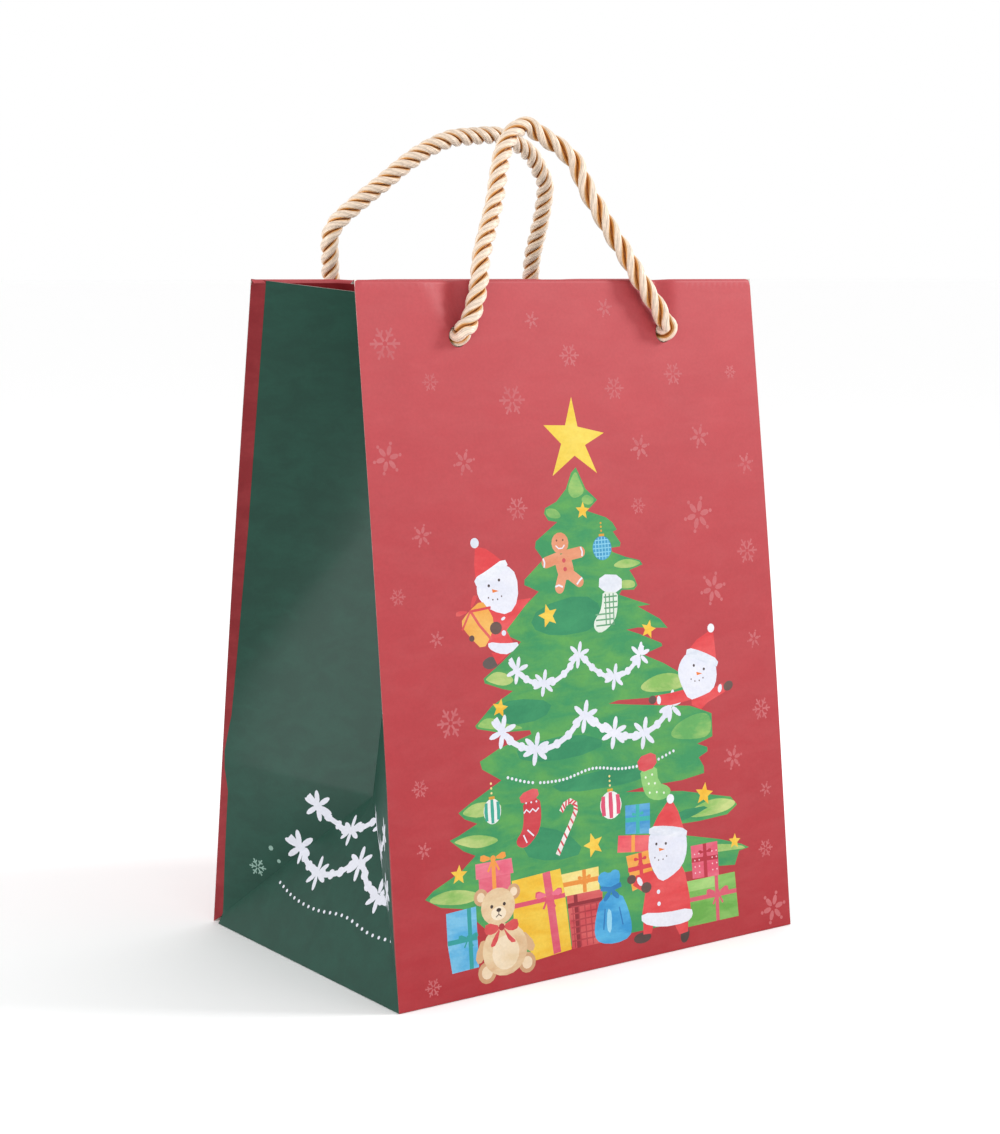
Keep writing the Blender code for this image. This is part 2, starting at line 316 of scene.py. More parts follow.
for side, route, lays in (("front", FRONT_ROUTE, FRONT_LAY), ("back", BACK_ROUTE, BACK_LAY)):
    left, right = Vector(route[0]), Vector(route[-1])
    leaving = (Vector(route[1]) - left).normalized() * 3.6
    coming = (Vector(route[-2]) - right).normalized() * 3.6
    path = curve_through(
        [
            *[left + Vector(p) for p in ELBOW], left + leaving, *route[1:-1], right + coming,
            *[right + Vector((-x, y, z)) for x, y, z in reversed(ELBOW)],
        ],
        ROPE_STEP,
    )
    runs = [0.0]
    for a, b in zip(path, path[1:]):
        runs.append(runs[-1] + (b - a).length)
    half = len(path) // 2
    start = runs[min(range(half), key=lambda i: (path[i] - left).length)]
    stop = runs[min(range(half, len(path)), key=lambda i: (path[i] - right).length)]
    rings = lay_strands(path, lambda s: between(lays, (s - start) / (stop - start)))

    def closed(run, low, high):
        """A scale that closes like a ball below low and above high."""
        past = max(low - run, run - high, 0.0) / BALL
        return max(0.01, sqrt(max(0.0, 1 - past * past)))

    loop = ([], [], [], [])
    cord_mesh(
        loop, [r for r in rings if start - BALL <= r[4] <= stop + BALL],
        scale_at=lambda run: closed(run, start, stop),
    )
    piece = cord_piece(side + "_rope_loop", loop, side)
    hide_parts(side + "_handle")
    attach(piece, side + "_loop")

    for end, hole, low, high in (("left", left, -99, start), ("right", right, stop, 999)):
        knot = ([], [], [], [])
        cord_mesh(
            knot, [r for r in rings if low - BALL <= r[4] <= high + BALL],
            scale_at=lambda run: closed(run, low, high),
        )
        tangle = [
            hole + Vector((
                KNOT_SCALE * (sin(t) + 2 * sin(2 * t)),
                KNOT_IN - 1.5 * sin(3 * t),
                KNOT_SCALE * (cos(t) - 2 * cos(2 * t)),
            ))
            for t in [0.6 + i * 2 * pi / 60 for i in range(61)]
        ]
        cord_mesh(knot, lay_strands(tangle, lambda s: 9.0), size=KNOT_SIZE)
        tail = curve_through(
            [hole + Vector(p) for p in ((0, KNOT_IN, 0), (1.5, KNOT_IN + 2, -4), (2, KNOT_IN + 1, -9))], 0.8
        )
        cord_mesh(knot, lay_strands(tail, lambda s: 11.0), size=KNOT_SIZE)
        piece = cord_piece(f"{side}_{end}_rope_knot", knot, side)
        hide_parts(f"{side}_knot_{end}")
        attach(piece, side + "_wall")


# --- Printed front wall ------------------------------------------------------
# One sheet of 170 g art paper, offset printed and matt laminated, creased down
# both sides. Its top is folded in over a strip of grey board, and the rope
# presses a shallow dent into it above each hole.

PAPER = 0.4
CARD = 0.8
GAP = 0.3
HOLE_RADIUS = 3.3
HOLES = (-42.5, 39.5)
TAPER_LEFT = 1.7  # how far the upright folds stand in at the rim
TAPER_RIGHT = 0.8
RIM_RADIUS = 1.1
BOW = 1.0  # how far a wall bows out over its height, and across its width
BELLY = 0.7
DENT_DEPTH = 2.4  # above each hole, where the rope presses the paper in
DENT_LEFT = 11.0  # its reach to the left of the rope at the rim, and to the right
DENT_RIGHT = 7.0
GRID = 2.5  # spacing of the points that let a sheet bend

# Red ground inks at the base and at the rim: the lighter rim is partly painted light, partly the print's own
# colour
RED_LOW = "#ad262f"
RED_HIGH = "#c24a50"


def printed_paper(name, back):
    """Laminated art paper with the print on one side: two inks laid wet, then grain."""
    material, tree, shader = new_material(name, Roughness=0.48, IOR=1.36)
    place = add(tree, "TexCoord").outputs["Object"]
    if back:
        colour = add(tree, "RGB").outputs["Color"]
        colour.default_value = linear(back)
    else:
        inks = add(tree, "Attribute", {"attribute_name": "ink"}).outputs["Color"]
        washes = add(tree, "Attribute", {"attribute_name": "wash"}).outputs["Color"]
        stretch = add(tree, "Mapping", inputs={"Vector": place, "Scale": (0.55, 1.0, 1.5)})
        brush = add(
            tree, "TexNoise",
            inputs={"Vector": stretch.outputs["Vector"], "Scale": 1 / (9 * MM), "Detail": 5.0,
                    "Roughness": 0.6, "Distortion": 0.4},
        )
        wet = add(
            tree, "MapRange", inputs={"Value": brush.outputs["Fac"], "From Min": 0.4, "From Max": 0.66}
        )
        colour = add(
            tree, "Mix", {"data_type": "RGBA"}, {0: wet.outputs["Result"], 6: inks, 7: washes}
        ).outputs[2]
    grain = add(
        tree, "TexNoise", inputs={"Vector": place, "Scale": 1 / (0.9 * MM), "Detail": 4.0, "Roughness": 0.65}
    )
    cloud = add(tree, "TexNoise", inputs={"Vector": place, "Scale": 1 / (16 * MM), "Detail": 2.0})
    both = add(
        tree, "Math", {"operation": "MULTIPLY_ADD"},
        {0: cloud.outputs["Fac"], 1: 0.5, 2: grain.outputs["Fac"]},
    )
    tone = add(
        tree, "MapRange",
        inputs={"Value": both.outputs["Value"], "From Min": 0.5, "From Max": 1.0,
                "To Min": 0.72, "To Max": 0.82},
    )
    mottled = add(
        tree, "Mix", {"data_type": "RGBA", "blend_type": "MULTIPLY"},
        {0: 1.0, 6: colour, 7: tone.outputs["Result"]},
    )
    tree.links.new(mottled.outputs[2], shader.inputs["Base Color"])
    bump = add(
        tree, "Bump", inputs={"Strength": 0.12, "Distance": 0.06 * MM, "Height": grain.outputs["Fac"]}
    )
    tree.links.new(bump.outputs["Normal"], shader.inputs["Normal"])
    return material


laminated_print = printed_paper("matt_laminated_art_paper", None)
bare_paper = printed_paper("uncoated_paper_back", "#e4dfd6")


def ease(t):
    """Goes from 0 to 1 with a level start and end."""
    t = min(1.0, max(0.0, t))
    return t * t * (3 - 2 * t)


def stand_out(side, across, up):
    """How far a wall stands out: a soft bow, less the dent that the rope presses above each hole."""
    share = up / LENGTH[side]
    out = BOW * sin(pi * min(1.0, max(0.0, share))) ** 1.2
    out += BELLY * sin(pi * min(1.0, max(0.0, share))) * sin(pi * (across + WIDTH / 2) / WIDTH)
    hole_up = LENGTH[side] - HOLE_BELOW_RIM
    for x in HOLES:
        x *= cos(TURN[side])
        rise = (up - hole_up) / HOLE_BELOW_RIM
        reach = 3 + DENT_LEFT * max(0.0, rise)
        ridge = (across - x) / reach + 1 if across < x else 1 - ease((across - x) / DENT_RIGHT)
        depth = DENT_DEPTH * ease(rise + 0.25) if rise > -0.25 else 0.0
        out -= depth * max(0.0, ridge) ** 1.3
    return out


def taper(side, across, up):
    """How far a wall's sheet moves towards its middle as it narrows to the rim."""
    share = (across + WIDTH / 2) / WIDTH
    tapers = (TAPER_LEFT, TAPER_RIGHT) if side == "front" else (TAPER_RIGHT, TAPER_LEFT)
    return (tapers[0] * (1 - share) - tapers[1] * share) * up / LENGTH[side]


def wall_point(side, across, up, depth=0.0):
    """A point of a wall, depth inside its outer face. Beyond the rim it rolls inwards."""
    top = LENGTH[side] - RIM_RADIUS
    level = min(up, LENGTH[side])
    x = across + taper(side, across, level)
    y = depth - stand_out(side, across, level)
    z = up
    if up > top and depth == 0.0:
        roll = min(pi, (up - top) / RIM_RADIUS)
        z = top + RIM_RADIUS * sin(roll)
        y += RIM_RADIUS * (1 - cos(roll))
    return crease(side) @ (Vector((x, y, min(z, LENGTH[side]))) * MM)


def ccw(points):
    """The points turned anticlockwise."""
    area = sum(a[0] * b[1] - b[0] * a[1] for a, b in zip(points, points[1:] + points[:1]))
    return points if area > 0 else points[::-1]


def cut_sheet(outline, shapes, holes=(), folds=(), spacing=GRID):
    """Triangles of a flat sheet, each with the topmost shape that covers it."""
    spots, faces, edges = [], [], []
    corners, outline = outline, []
    for (x0, y0), (x1, y1) in zip(corners, corners[1:] + corners[:1]):
        count = max(1, round(hypot(x1 - x0, y1 - y0) / spacing))
        outline += [(x0 + (x1 - x0) * k / count, y0 + (y1 - y0) * k / count) for k in range(count)]
    for points in [outline, *[s[0] for s in shapes], *holes]:
        points = ccw([tuple(p) for p in points])
        faces.append(list(range(len(spots), len(spots) + len(points))))
        spots += [Vector(p) for p in points]
    for (x0, y0), (x1, y1) in folds:
        count = max(1, round(hypot(x1 - x0, y1 - y0) / spacing))
        edges += [(len(spots) + k, len(spots) + k + 1) for k in range(count)]
        spots += [Vector((x0 + (x1 - x0) * k / count, y0 + (y1 - y0) * k / count)) for k in range(count + 1)]
    low_x, high_x = min(p[0] for p in outline), max(p[0] for p in outline)
    low_y, high_y = min(p[1] for p in outline), max(p[1] for p in outline)
    for i in range(1, int((high_x - low_x) / spacing)):
        for j in range(1, int((high_y - low_y) / spacing)):
            shift = 0.5 if j % 2 else 0.0
            spots.append(Vector((low_x + (i + shift) * spacing, low_y + j * spacing)))
    spots, _, triangles, _, _, sources = delaunay_2d_cdt(spots, edges, faces, 0, 1e-4, True)
    first_hole = 1 + len(shapes)
    kept, tops = [], []
    for triangle, source in zip(triangles, sources):
        if 0 in source and not any(f >= first_hole for f in source):
            kept.append(tuple(triangle))
            tops.append(max(source) - 1)
    return spots, kept, tops


CORNER_REACH = 2.5  # a sheet thins to nothing over this length where it turns a corner


def wall_thickness(spot):
    """A wall's sheet thins out where it turns the corner into a gusset."""
    return PAPER * min(1.0, 0.05 + min(spot.x, WIDTH - spot.x) / CORNER_REACH)


def gusset_thickness(spot):
    """A gusset's sheet thins out where it turns the corner into a wall."""
    return PAPER * min(1.0, 0.05 + spot.x / 2.0)


def paper_piece(name, sheet, inks, place, thickness=wall_thickness, turned=False, stock=None):
    """A sheet with its thickness. inks gives ink and wash for a shape and a spot."""
    spots, triangles, tops = sheet
    if turned:
        triangles = [t[::-1] for t in triangles]
    outer = [place(p) for p in spots]
    normals = [Vector() for _ in outer]
    for a, b, c in triangles:
        normal = (outer[b] - outer[a]).cross(outer[c] - outer[a])
        for k in (a, b, c):
            normals[k] += normal
    inner = [p - n.normalized() * thickness(q) * MM for p, n, q in zip(outer, normals, spots)]
    count = len(outer)
    faces = [*triangles, *[tuple(k + count for k in t[::-1]) for t in triangles]]
    sides = [1 if i >= len(triangles) else 0 for i in range(len(faces))]
    owner = {(t[i], t[(i + 1) % 3]): top for t, top in zip(triangles, tops) for i in range(3)}
    cut = [(a, b) for a, b in owner if (b, a) not in owner]
    faces += [(b, a, a + count, b + count) for a, b in cut]
    sides += [0] * len(cut)
    face_tops = [*tops, *tops, *[owner[edge] for edge in cut]]
    piece = make_piece(name, [*outer, *inner], faces, stock or [laminated_print, bare_paper])
    mesh = piece.data
    mesh.polygons.foreach_set("material_index", sides)
    colours = ([], [])
    for face, top in zip(faces, face_tops):
        for k in face:
            for target, colour in zip(colours, inks(top, spots[k % count])):
                target.extend(colour)
    for label, values in zip(("ink", "wash"), colours):
        mesh.attributes.new(label, "FLOAT_COLOR", "CORNER").data.foreach_set("color", values)
    mesh.set_sharp_from_angle(angle=radians(32))
    return piece


def mix(a, b, t):
    """Two linear colours mixed."""
    t = min(1.0, max(0.0, t))
    return tuple(x + (y - x) * t for x, y in zip(a, b))


def ring(x, y, rx, ry=None, count=14, turn=0.0):
    """An oval outline."""
    ry = ry or rx
    spots = [(rx * cos(2 * pi * k / count), ry * sin(2 * pi * k / count)) for k in range(count)]
    c, s = cos(turn), sin(turn)
    return [(x + a * c - b * s, y + a * s + b * c) for a, b in spots]


def band(points, width):
    """The outline of a brush stroke of even width, or of one width at each point."""
    widths = width if isinstance(width, (list, tuple)) else [width] * len(points)
    left, right = [], []
    for i, (x, y) in enumerate(points):
        (x0, y0), (x1, y1) = points[max(i - 1, 0)], points[min(i + 1, len(points) - 1)]
        run = hypot(x1 - x0, y1 - y0)
        dx, dy = -(y1 - y0) / run * widths[i] / 2, (x1 - x0) / run * widths[i] / 2
        left.append((x + dx, y + dy))
        right.append((x - dx, y - dy))
    return left + right[::-1]


def star(x, y, r, turn=0.0):
    """A five-pointed star outline."""
    return [
        (x + (r if k % 2 == 0 else r * 0.45) * sin(k * pi / 5 + turn),
         y + (r if k % 2 == 0 else r * 0.45) * cos(k * pi / 5 + turn))
        for k in range(10)
    ]


def softened(points):
    """A closed outline with its corners rounded."""
    count = len(points)
    out = []
    for i in range(count):
        (x0, y0), (x1, y1), (x2, y2) = points[i - 1], points[i], points[(i + 1) % count]
        out += [((x0 + 3 * x1) / 4, (y0 + 3 * y1) / 4), ((x2 + 3 * x1) / 4, (y2 + 3 * y1) / 4)]
    return out


def snowflake(x, y, r, petals):
    """The outlines of one snowflake: six petals with dots, or six twigs."""
    shapes = []
    for k in range(6):
        a = k * pi / 3 + 0.2 * petals
        c, s = cos(a), sin(a)
        if petals:
            shapes.append(ring(x + 0.5 * r * c, y + 0.5 * r * s, 0.33 * r, 0.17 * r, 8, a))
            shapes.append(ring(x + 0.95 * r * c, y + 0.95 * r * s, 0.12 * r, count=6))
        else:
            shapes.append(band([(x + 0.14 * r * c, y + 0.14 * r * s), (x + r * c, y + r * s)], 0.15 * r))
            for way in (-1, 1):
                b = a + way * 0.9
                foot = (x + 0.5 * r * c, y + 0.5 * r * s)
                tip = (foot[0] + 0.34 * r * cos(b), foot[1] + 0.34 * r * sin(b))
                shapes.append(band([foot, tip], 0.13 * r))
    return shapes


# The picture, in millimetres from the wall's bottom left corner: (outline, ink, wash)
art = []


def paint(ink, wash, *outlines):
    """Lays shapes over the picture so far, in an ink and the wash that clouds it."""
    art.extend((outline, linear(ink), linear(wash)) for outline in outlines)


def dots(radius, *spots, corners=6):
    """Small round spots of one size."""
    return [ring(x, y, radius, count=corners) for x, y in spots]


FLAKES = [
    (9.5, 202, 5.5), (7.5, 167.5, 5), (25, 190, 3), (35.5, 165, 4), (55.5, 183.5, 5),
    (65.5, 208.5, 2.7), (79.5, 197, 4), (95.5, 212, 3), (97, 186, 4), (106, 166.5, 4),
    (122.5, 190, 4), (132, 169, 4), (148, 190, 2.5), (152, 159, 3.5), (103.5, 147.5, 3),
    (129, 143, 6), (150, 129.5, 4.5), (133.5, 118, 5.5), (54.5, 149.5, 4), (18, 143.5, 3.5),
    (8, 125.5, 2.8), (150.5, 99.5, 3), (152, 75.5, 4), (138, 60.5, 4), (24.3, 85.5, 5),
    (21, 111.5, 2.5), (11.8, 66.8, 3), (12, 47.8, 2.5), (12.8, 5.5, 3), (152, 48, 2.5),
    (150.5, 27.8, 3.2), (152.5, 7, 5.5),
]
for i, (x, y, r) in enumerate(FLAKES):
    paint("#c8696d", "#c25a5f", *snowflake(x, y, r, i % 2))
paint("#ecc83c", "#f2d75c", [
    (79, 183.8), (80.7, 174.2), (91.3, 171.8), (83.2, 168.2), (87.3, 159), (78.7, 165), (69.3, 159),
    (73.6, 169), (67.1, 175.2), (75.7, 174.8),
])
FIR = [
    (78.8, 161.3), (80, 158.8), (82.1, 154.2), (84.6, 152.1), (86.5, 150.4), (82.1, 147.1),
    (89.6, 144.6), (92.1, 142.9), (93.8, 140.4), (92.1, 139.8), (95, 136), (94.6, 134.8),
    (90.8, 134.6), (91.3, 133.3), (96.7, 131.3), (102.5, 129.8), (103.6, 128.3), (97.9, 126.9),
    (100, 123.8), (100.8, 121.7), (99.2, 120.4), (94.2, 120.7), (93, 119.3), (100, 116.8),
    (105.8, 115), (100.5, 114.8), (109.5, 110), (112.6, 106.7), (100, 108), (95, 107.7),
    (100, 106), (109.5, 102), (109.8, 101), (101.5, 99), (110, 95.3), (115.8, 92),
    (119.5, 89.5), (118.5, 85), (110, 84.3), (90, 85.3), (86, 84.6), (95, 83.3), (106.5, 81.8),
    (120, 80.1), (125, 78.3), (129.5, 76.5), (129.3, 68.8), (122.5, 67.1), (126.8, 65.5),
    (126.8, 64), (122.8, 62.5), (124.8, 59.3), (124.8, 57), (115, 55.9), (99, 55.9), (91, 55.2),
    (98.5, 54.3), (115, 52.3), (128, 49.3), (136, 47.5), (138.6, 44.5), (134, 41.8), (121.5, 41.3),
    (114, 41.5), (115.8, 37.3), (130, 34), (139.5, 31), (143, 29.3), (138.5, 28.8), (136.3, 24.3),
    (129, 25), (114, 25.3), (108, 9), (45, 9), (25, 27.8), (17, 29.5), (11.5, 32.8), (14.5, 35),
    (25, 39.3), (30.8, 43.5), (26.5, 45.5), (21.6, 49.5), (25, 50.5), (32.1, 53.3), (27.5, 55.3),
    (25.3, 57.5), (30, 60), (42, 65.5), (35, 69.8), (34.3, 72.3), (41.8, 75.5), (54.5, 78.5),
    (54, 79.8), (42.5, 80.4), (34, 82.5), (33.3, 83.5), (40, 89), (48.3, 92.8), (44.5, 93.8),
    (37.8, 96.3), (37.5, 97.8), (45, 102.3), (52.5, 107.8), (47, 110.5), (46.8, 113), (55, 119),
    (60.6, 122.9), (56.7, 124.8), (55.2, 125.4), (55.4, 127.1), (63.2, 132.9), (60.3, 136.7),
    (60.8, 138.8), (69.8, 144.3), (66.3, 145), (64.8, 147.3), (65.4, 149), (70, 150.8),
    (74.2, 154.6), (76.7, 159.6),
]
paint("#35935a", "#5aa552", FIR)
# Paler paint at the ends of the branches
for ink, wash, tips in (
    ("#5fa85a", "#9cc46a", [
        [(78.8, 160.2), (80, 157), (82, 153), (77, 151), (74.5, 154), (77, 158.6)],
        [(86, 150.6), (83, 148.6), (79.5, 150.5), (82, 152.8)],
        [(65.2, 147.8), (66.8, 145.6), (72, 145.4), (70, 148.4), (66.4, 149)],
        [(129.2, 76), (128.8, 69.2), (121, 68.6), (110, 70.5), (114, 75), (124, 77.6)],
        [(34, 83.6), (35, 82.7), (44, 81), (53, 80.4), (46, 83), (38, 86)],
    ]),
    ("#86b85c", "#c4d284", [
        [(103, 128.6), (97.4, 127.4), (90, 128.6), (96, 131), (102, 129.6)],
        [(100.2, 122), (99, 121), (92.5, 121.2), (94, 124), (99.2, 123.6)],
        [(38.2, 97.8), (38.6, 96.8), (45.5, 94.3), (50, 96.4), (43, 100)],
        [(114.6, 91.8), (118.6, 89), (117.6, 86), (104, 86), (98, 88.4), (106, 92)],
        [(138, 46.2), (137.6, 44.4), (132, 42.6), (118, 42.6), (116, 45), (128, 48.4)],
        [(142, 29.1), (137.8, 29.4), (124, 30), (126, 33), (139, 30.8)],
        [(12.5, 32.9), (14, 31), (26, 28.8), (34, 31), (22, 34.8)],
        [(22.6, 49), (24.4, 48), (32, 45.2), (42, 47), (31, 50.4)],
        [(26.2, 57.5), (28.4, 56), (34, 54.8), (44, 57.4), (33, 60.4)],
    ]),
):
    paint(ink, wash, *[softened(softened(tip)) for tip in tips])
paint(
    "#28875a", "#379562",
    softened([(60, 118), (78, 121), (86, 116), (83, 109), (66, 108), (56, 112)]),
    softened([(40, 88), (48, 90.5), (64, 88), (60, 82.6), (44, 82)]),
    softened([(48, 75), (72, 77), (86, 72), (70, 68.6), (50, 70)]),
    softened([(60, 62), (88, 64), (104, 60), (92, 57.6), (66, 58)]),
    softened([(52, 50), (66, 46), (74, 38), (60, 37), (48, 41)]),
    softened([(100, 40), (112, 46), (128, 46), (118, 43)]),
)

GOLD, GOLD_WASH = "#eeb52c", "#f4d455"
for x, y, r, turn in (
    (80.3, 147.3, 2.9, 0.1), (63.8, 115, 3.9, -0.2), (104.3, 107, 3.2, 0.3), (43, 88, 3.1, 0.25),
    (24.3, 38.5, 3.2, 0.1), (76.8, 40, 4.1, -0.25), (124.3, 50, 4, 0.2), (136.7, 32.3, 2.7, 0.1),
):
    paint(GOLD, GOLD_WASH, star(x, y, r, turn))

# White garlands strung with beads, across the middle of the tree
WHITE, WHITE_WASH = "#e9eaf4", "#dfe2f0"


def garland(points, width, flakes, size, bead, gap):
    """Outlines of a swagged ribbon with big snowflakes along it and beads between them."""
    line = [(p.x, p.y) for p in curve_through([(x, y, 0) for x, y in points], 1.6)]
    shapes = [band(line, width)] if width else []
    run = 0.0
    for (x0, y0), (x1, y1) in zip(line, line[1:]):
        run += hypot(x1 - x0, y1 - y0)
        if run > gap:
            run = 0.0
            shapes.append(ring(x1, y1, bead, count=10))
    for x, y in flakes:
        for k in range(6):
            a = k * pi / 3 + 0.3
            c, s = cos(a), sin(a)
            shapes.append(ring(x + 0.55 * size * c, y + 0.55 * size * s, 0.46 * size, 0.17 * size, 10, a))
    return shapes


paint(
    WHITE, WHITE_WASH,
    *garland(
        [
            (48, 103), (51, 98), (57, 94.4), (64, 94), (70, 97), (75, 101.5), (80, 97), (86, 93.4),
            (92, 93.4), (97, 96), (101.5, 102),
        ],
        1.5, [(50.5, 99), (60.5, 94), (75, 101.5), (89, 93), (100, 99)], 4.4, 1.3, 3.4,
    ),
)
paint(
    WHITE, WHITE_WASH,
    *garland(
        [
            (41, 85), (45, 78.5), (52, 74.4), (61, 73.4), (69, 76.5), (76, 82), (83, 77), (92, 73.4),
            (101, 73.6), (108.5, 77.5), (113.5, 84),
        ],
        1.8, [(43.5, 80.5), (56, 73.6), (76, 81.6), (87.5, 75), (100, 73.4), (112, 81)], 5.4, 1.5, 3.7,
    ),
)
paint(
    WHITE, WHITE_WASH,
    *garland(
        [(43, 66.5), (54, 63.2), (66, 62.6), (78, 64.6), (90, 63), (102, 63.4), (112, 66)], 0, [], 1,
        0.5, 1.5,
    ),
)

# Gingerbread biscuit
GINGER, GINGER_WASH = "#e39a76", "#dd8860"
for limb in (
    [(70.6, 134), (71.8, 129)], [(70.3, 133.3), (64.3, 131.8)], [(71, 133.3), (78.3, 134.2)],
    [(71, 128.5), (69, 123.4)], [(72, 128.5), (77, 124.8)],
):
    (x0, y0), (x1, y1) = limb
    wide = 3.6 if x0 != 70.6 else 6.6
    paint(GINGER, GINGER_WASH, band(limb, wide), ring(x1, y1, wide / 2))
paint(GINGER, GINGER_WASH, ring(70.3, 137.6, 3.4))
paint(
    WHITE, WHITE_WASH,
    band([(63.2, 133.2), (63.7, 131.8), (63.4, 130.3)], 0.6),
    band([(78.4, 135.8), (79, 134.3), (78.8, 132.8)], 0.6),
    band([(67.3, 123.9), (68.8, 124.3), (70.3, 123.6)], 0.6),
    band([(76, 124), (77.2, 125.2), (78.3, 126)], 0.6),
    band([(68.5, 136.9), (69.6, 135.9), (71.1, 135.9), (72, 136.9)], 0.4),
)
paint("#7c4a35", "#7c4a35", ring(69, 138.5, 0.35, count=8), ring(71.5, 138.5, 0.35, count=8))
paint("#c8434b", "#d05a5e", *dots(0.75, (71.4, 132), (71.7, 129.2), corners=8))

# Checked blue ball and gingham stocking
paint("#2f86b8", "#3f9bc6", ring(87.2, 134.8, 3.9, count=20))
for i in range(-2, 3):
    reach = sqrt(3.7**2 - (i * 1.3) ** 2)
    paint(
        "#8fd0e6", "#7cc4e0",
        band([(87.2 + i * 1.3, 134.8 - reach), (87.2 + i * 1.3, 134.8 + reach)], 0.38),
        band([(87.2 - reach, 134.8 + i * 1.3), (87.2 + reach, 134.8 + i * 1.3)], 0.38),
    )
paint(
    "#c98a3a", GOLD,
    band([(86.2, 139), (88.4, 139)], 0.8), ring(87.3, 140.4, 0.4, count=6),
    ring(87.3, 141.7, 0.4, count=6), ring(87.3, 142.9, 0.4, count=6),
)
paint("#dfe8dc", "#cfdccb", softened([
    (86.3, 121), (92.5, 120.8), (92, 115), (90.8, 111.5), (87.5, 108.8), (84, 107.5), (82, 109),
    (81.8, 111), (83, 112.8), (84.8, 114.5), (85.8, 117.5),
]))
for y in (119, 117.2, 115.4, 113.6, 111.8, 110):
    low, high = (86.5, 92) if y > 114 else (82.8, 90.4)
    paint("#5f9a70", "#7fb08a", band([(low, y), (high, y)], 0.5))
for x in (87.3, 88.9, 90.5):
    paint("#5f9a70", "#7fb08a", band([(x, 120), (x - 0.4, 110.2)], 0.45))
paint("#eceef5", "#d8dde8", softened([(85.4, 126.5), (94.6, 125.6), (94.1, 119.9), (84.6, 121.1)]))

# Striped balls, striped cane, red and spotted stockings
for x, y, rx, ry, colour, cap in (
    (38, 56.3, 3.3, 4, "#3aa58f", 60.5),
    (84.6, 51.8, 4.4, 4.5, "#d9506f", 56.7),
):
    paint("#f0efec", "#e2e8e6", ring(x, y, rx, ry, 20))
    for k in (-0.66, 0.0, 0.66):
        reach = ry * sqrt(1 - k * k) * 0.94
        low, high = x + (k - 0.16) * rx, x + (k + 0.16) * rx
        paint(colour, colour, [
            (low, y - reach), (high, y - reach), (x + (k * 1.1 + 0.2) * rx, y),
            (high, y + reach), (low, y + reach), (x + (k * 1.1 - 0.2) * rx, y),
        ])
    paint("#c98a3a", GOLD, band([(x - 1.1, cap), (x + 1.1, cap)], 0.9))
    paint("#f3d98a", "#f6e3a5", *[ring(x, cap + g, 0.42, count=6) for g in (1.5, 3.0, 4.5)])
CANE = [(62.3, 39), (65, 43.5), (68, 48), (70.3, 52), (70.3, 54.3), (68.3, 55.5), (66, 54.6), (64.5, 52.5)]
paint("#f2ece9", "#e8dcd8", band(CANE, 1.7))
for (x0, y0), (x1, y1) in zip(CANE, CANE[1:]):
    for t in (0.25, 0.75):
        x, y = x0 + (x1 - x0) * t, y0 + (y1 - y0) * t
        run = hypot(x1 - x0, y1 - y0)
        dx, dy = (x1 - x0) / run, (y1 - y0) / run
        paint("#cf3b45", "#d9545c", [
            (x - dy * 0.84 + dx * 0.1, y + dx * 0.84 + dy * 0.1),
            (x - dy * 0.84 + dx * 0.8, y + dx * 0.84 + dy * 0.8),
            (x + dy * 0.84 - dx * 0.1, y - dx * 0.84 - dy * 0.1),
            (x + dy * 0.84 - dx * 0.8, y - dx * 0.84 - dy * 0.8),
        ])
paint("#c5303c", "#d04a50", softened([
    (49.8, 58), (56.3, 58.5), (56.8, 53), (55.8, 48), (52.5, 44.5), (49.5, 43), (46.8, 44), (46.5, 46),
    (49, 48.5), (49.8, 52),
]))
paint("#d9474f", "#e0666a", softened([(48.3, 60), (55.5, 61.8), (56.3, 58.3), (49.3, 56.6)]))
paint(
    WHITE, WHITE_WASH,
    band([(49.9, 54), (51, 55), (52.2, 54), (53.4, 55), (54.6, 54), (55.8, 55)], 0.5),
    band([(51, 48.6), (53.4, 46.4)], 0.5), band([(49.4, 47.2), (50.6, 44.6)], 0.5),
    *dots(0.35, (51, 57.1), (53, 57.1), (55, 57.1)),
)
paint("#7cc06a", "#95cc78", softened([
    (97.3, 62), (104.5, 62.5), (104.8, 56.5), (109.5, 54.5), (110, 52.5), (108, 50.8), (103.5, 50.6),
    (99.6, 52.4), (98, 56),
]))
paint(
    "#e9f3df", "#e9f3df",
    *dots(
        0.42, (99.6, 58.8), (102.4, 59.4), (100.8, 56.6), (103.4, 56.4), (101, 53.6), (104, 53.4),
        (107, 52.8),
    ),
)
paint("#d2434b", "#dc5a5e", softened([(96.2, 65.6), (104.2, 67), (104.7, 61.8), (97.2, 60.4)]))

# Three snowmen in red hats and coats
COAT, COAT_WASH = "#dc3d42", "#e5585a"
MITT, MITT_WASH = "#5c4340", "#6b524b"
COAL = "#4a3b3a"
COAL_SMILE = "#6b5a58"


def snow_face(eyes, nose):
    """Coal eyes and a carrot nose on a snow head."""
    paint(COAL, COAL, *dots(0.5, *eyes, corners=8))
    paint("#e8762e", "#ee8c45", [
        (nose[0] - 0.5, nose[1] + 0.6), (nose[0] - 0.3, nose[1] - 0.6), (nose[0] + 2.1, nose[1] - 0.2),
    ])


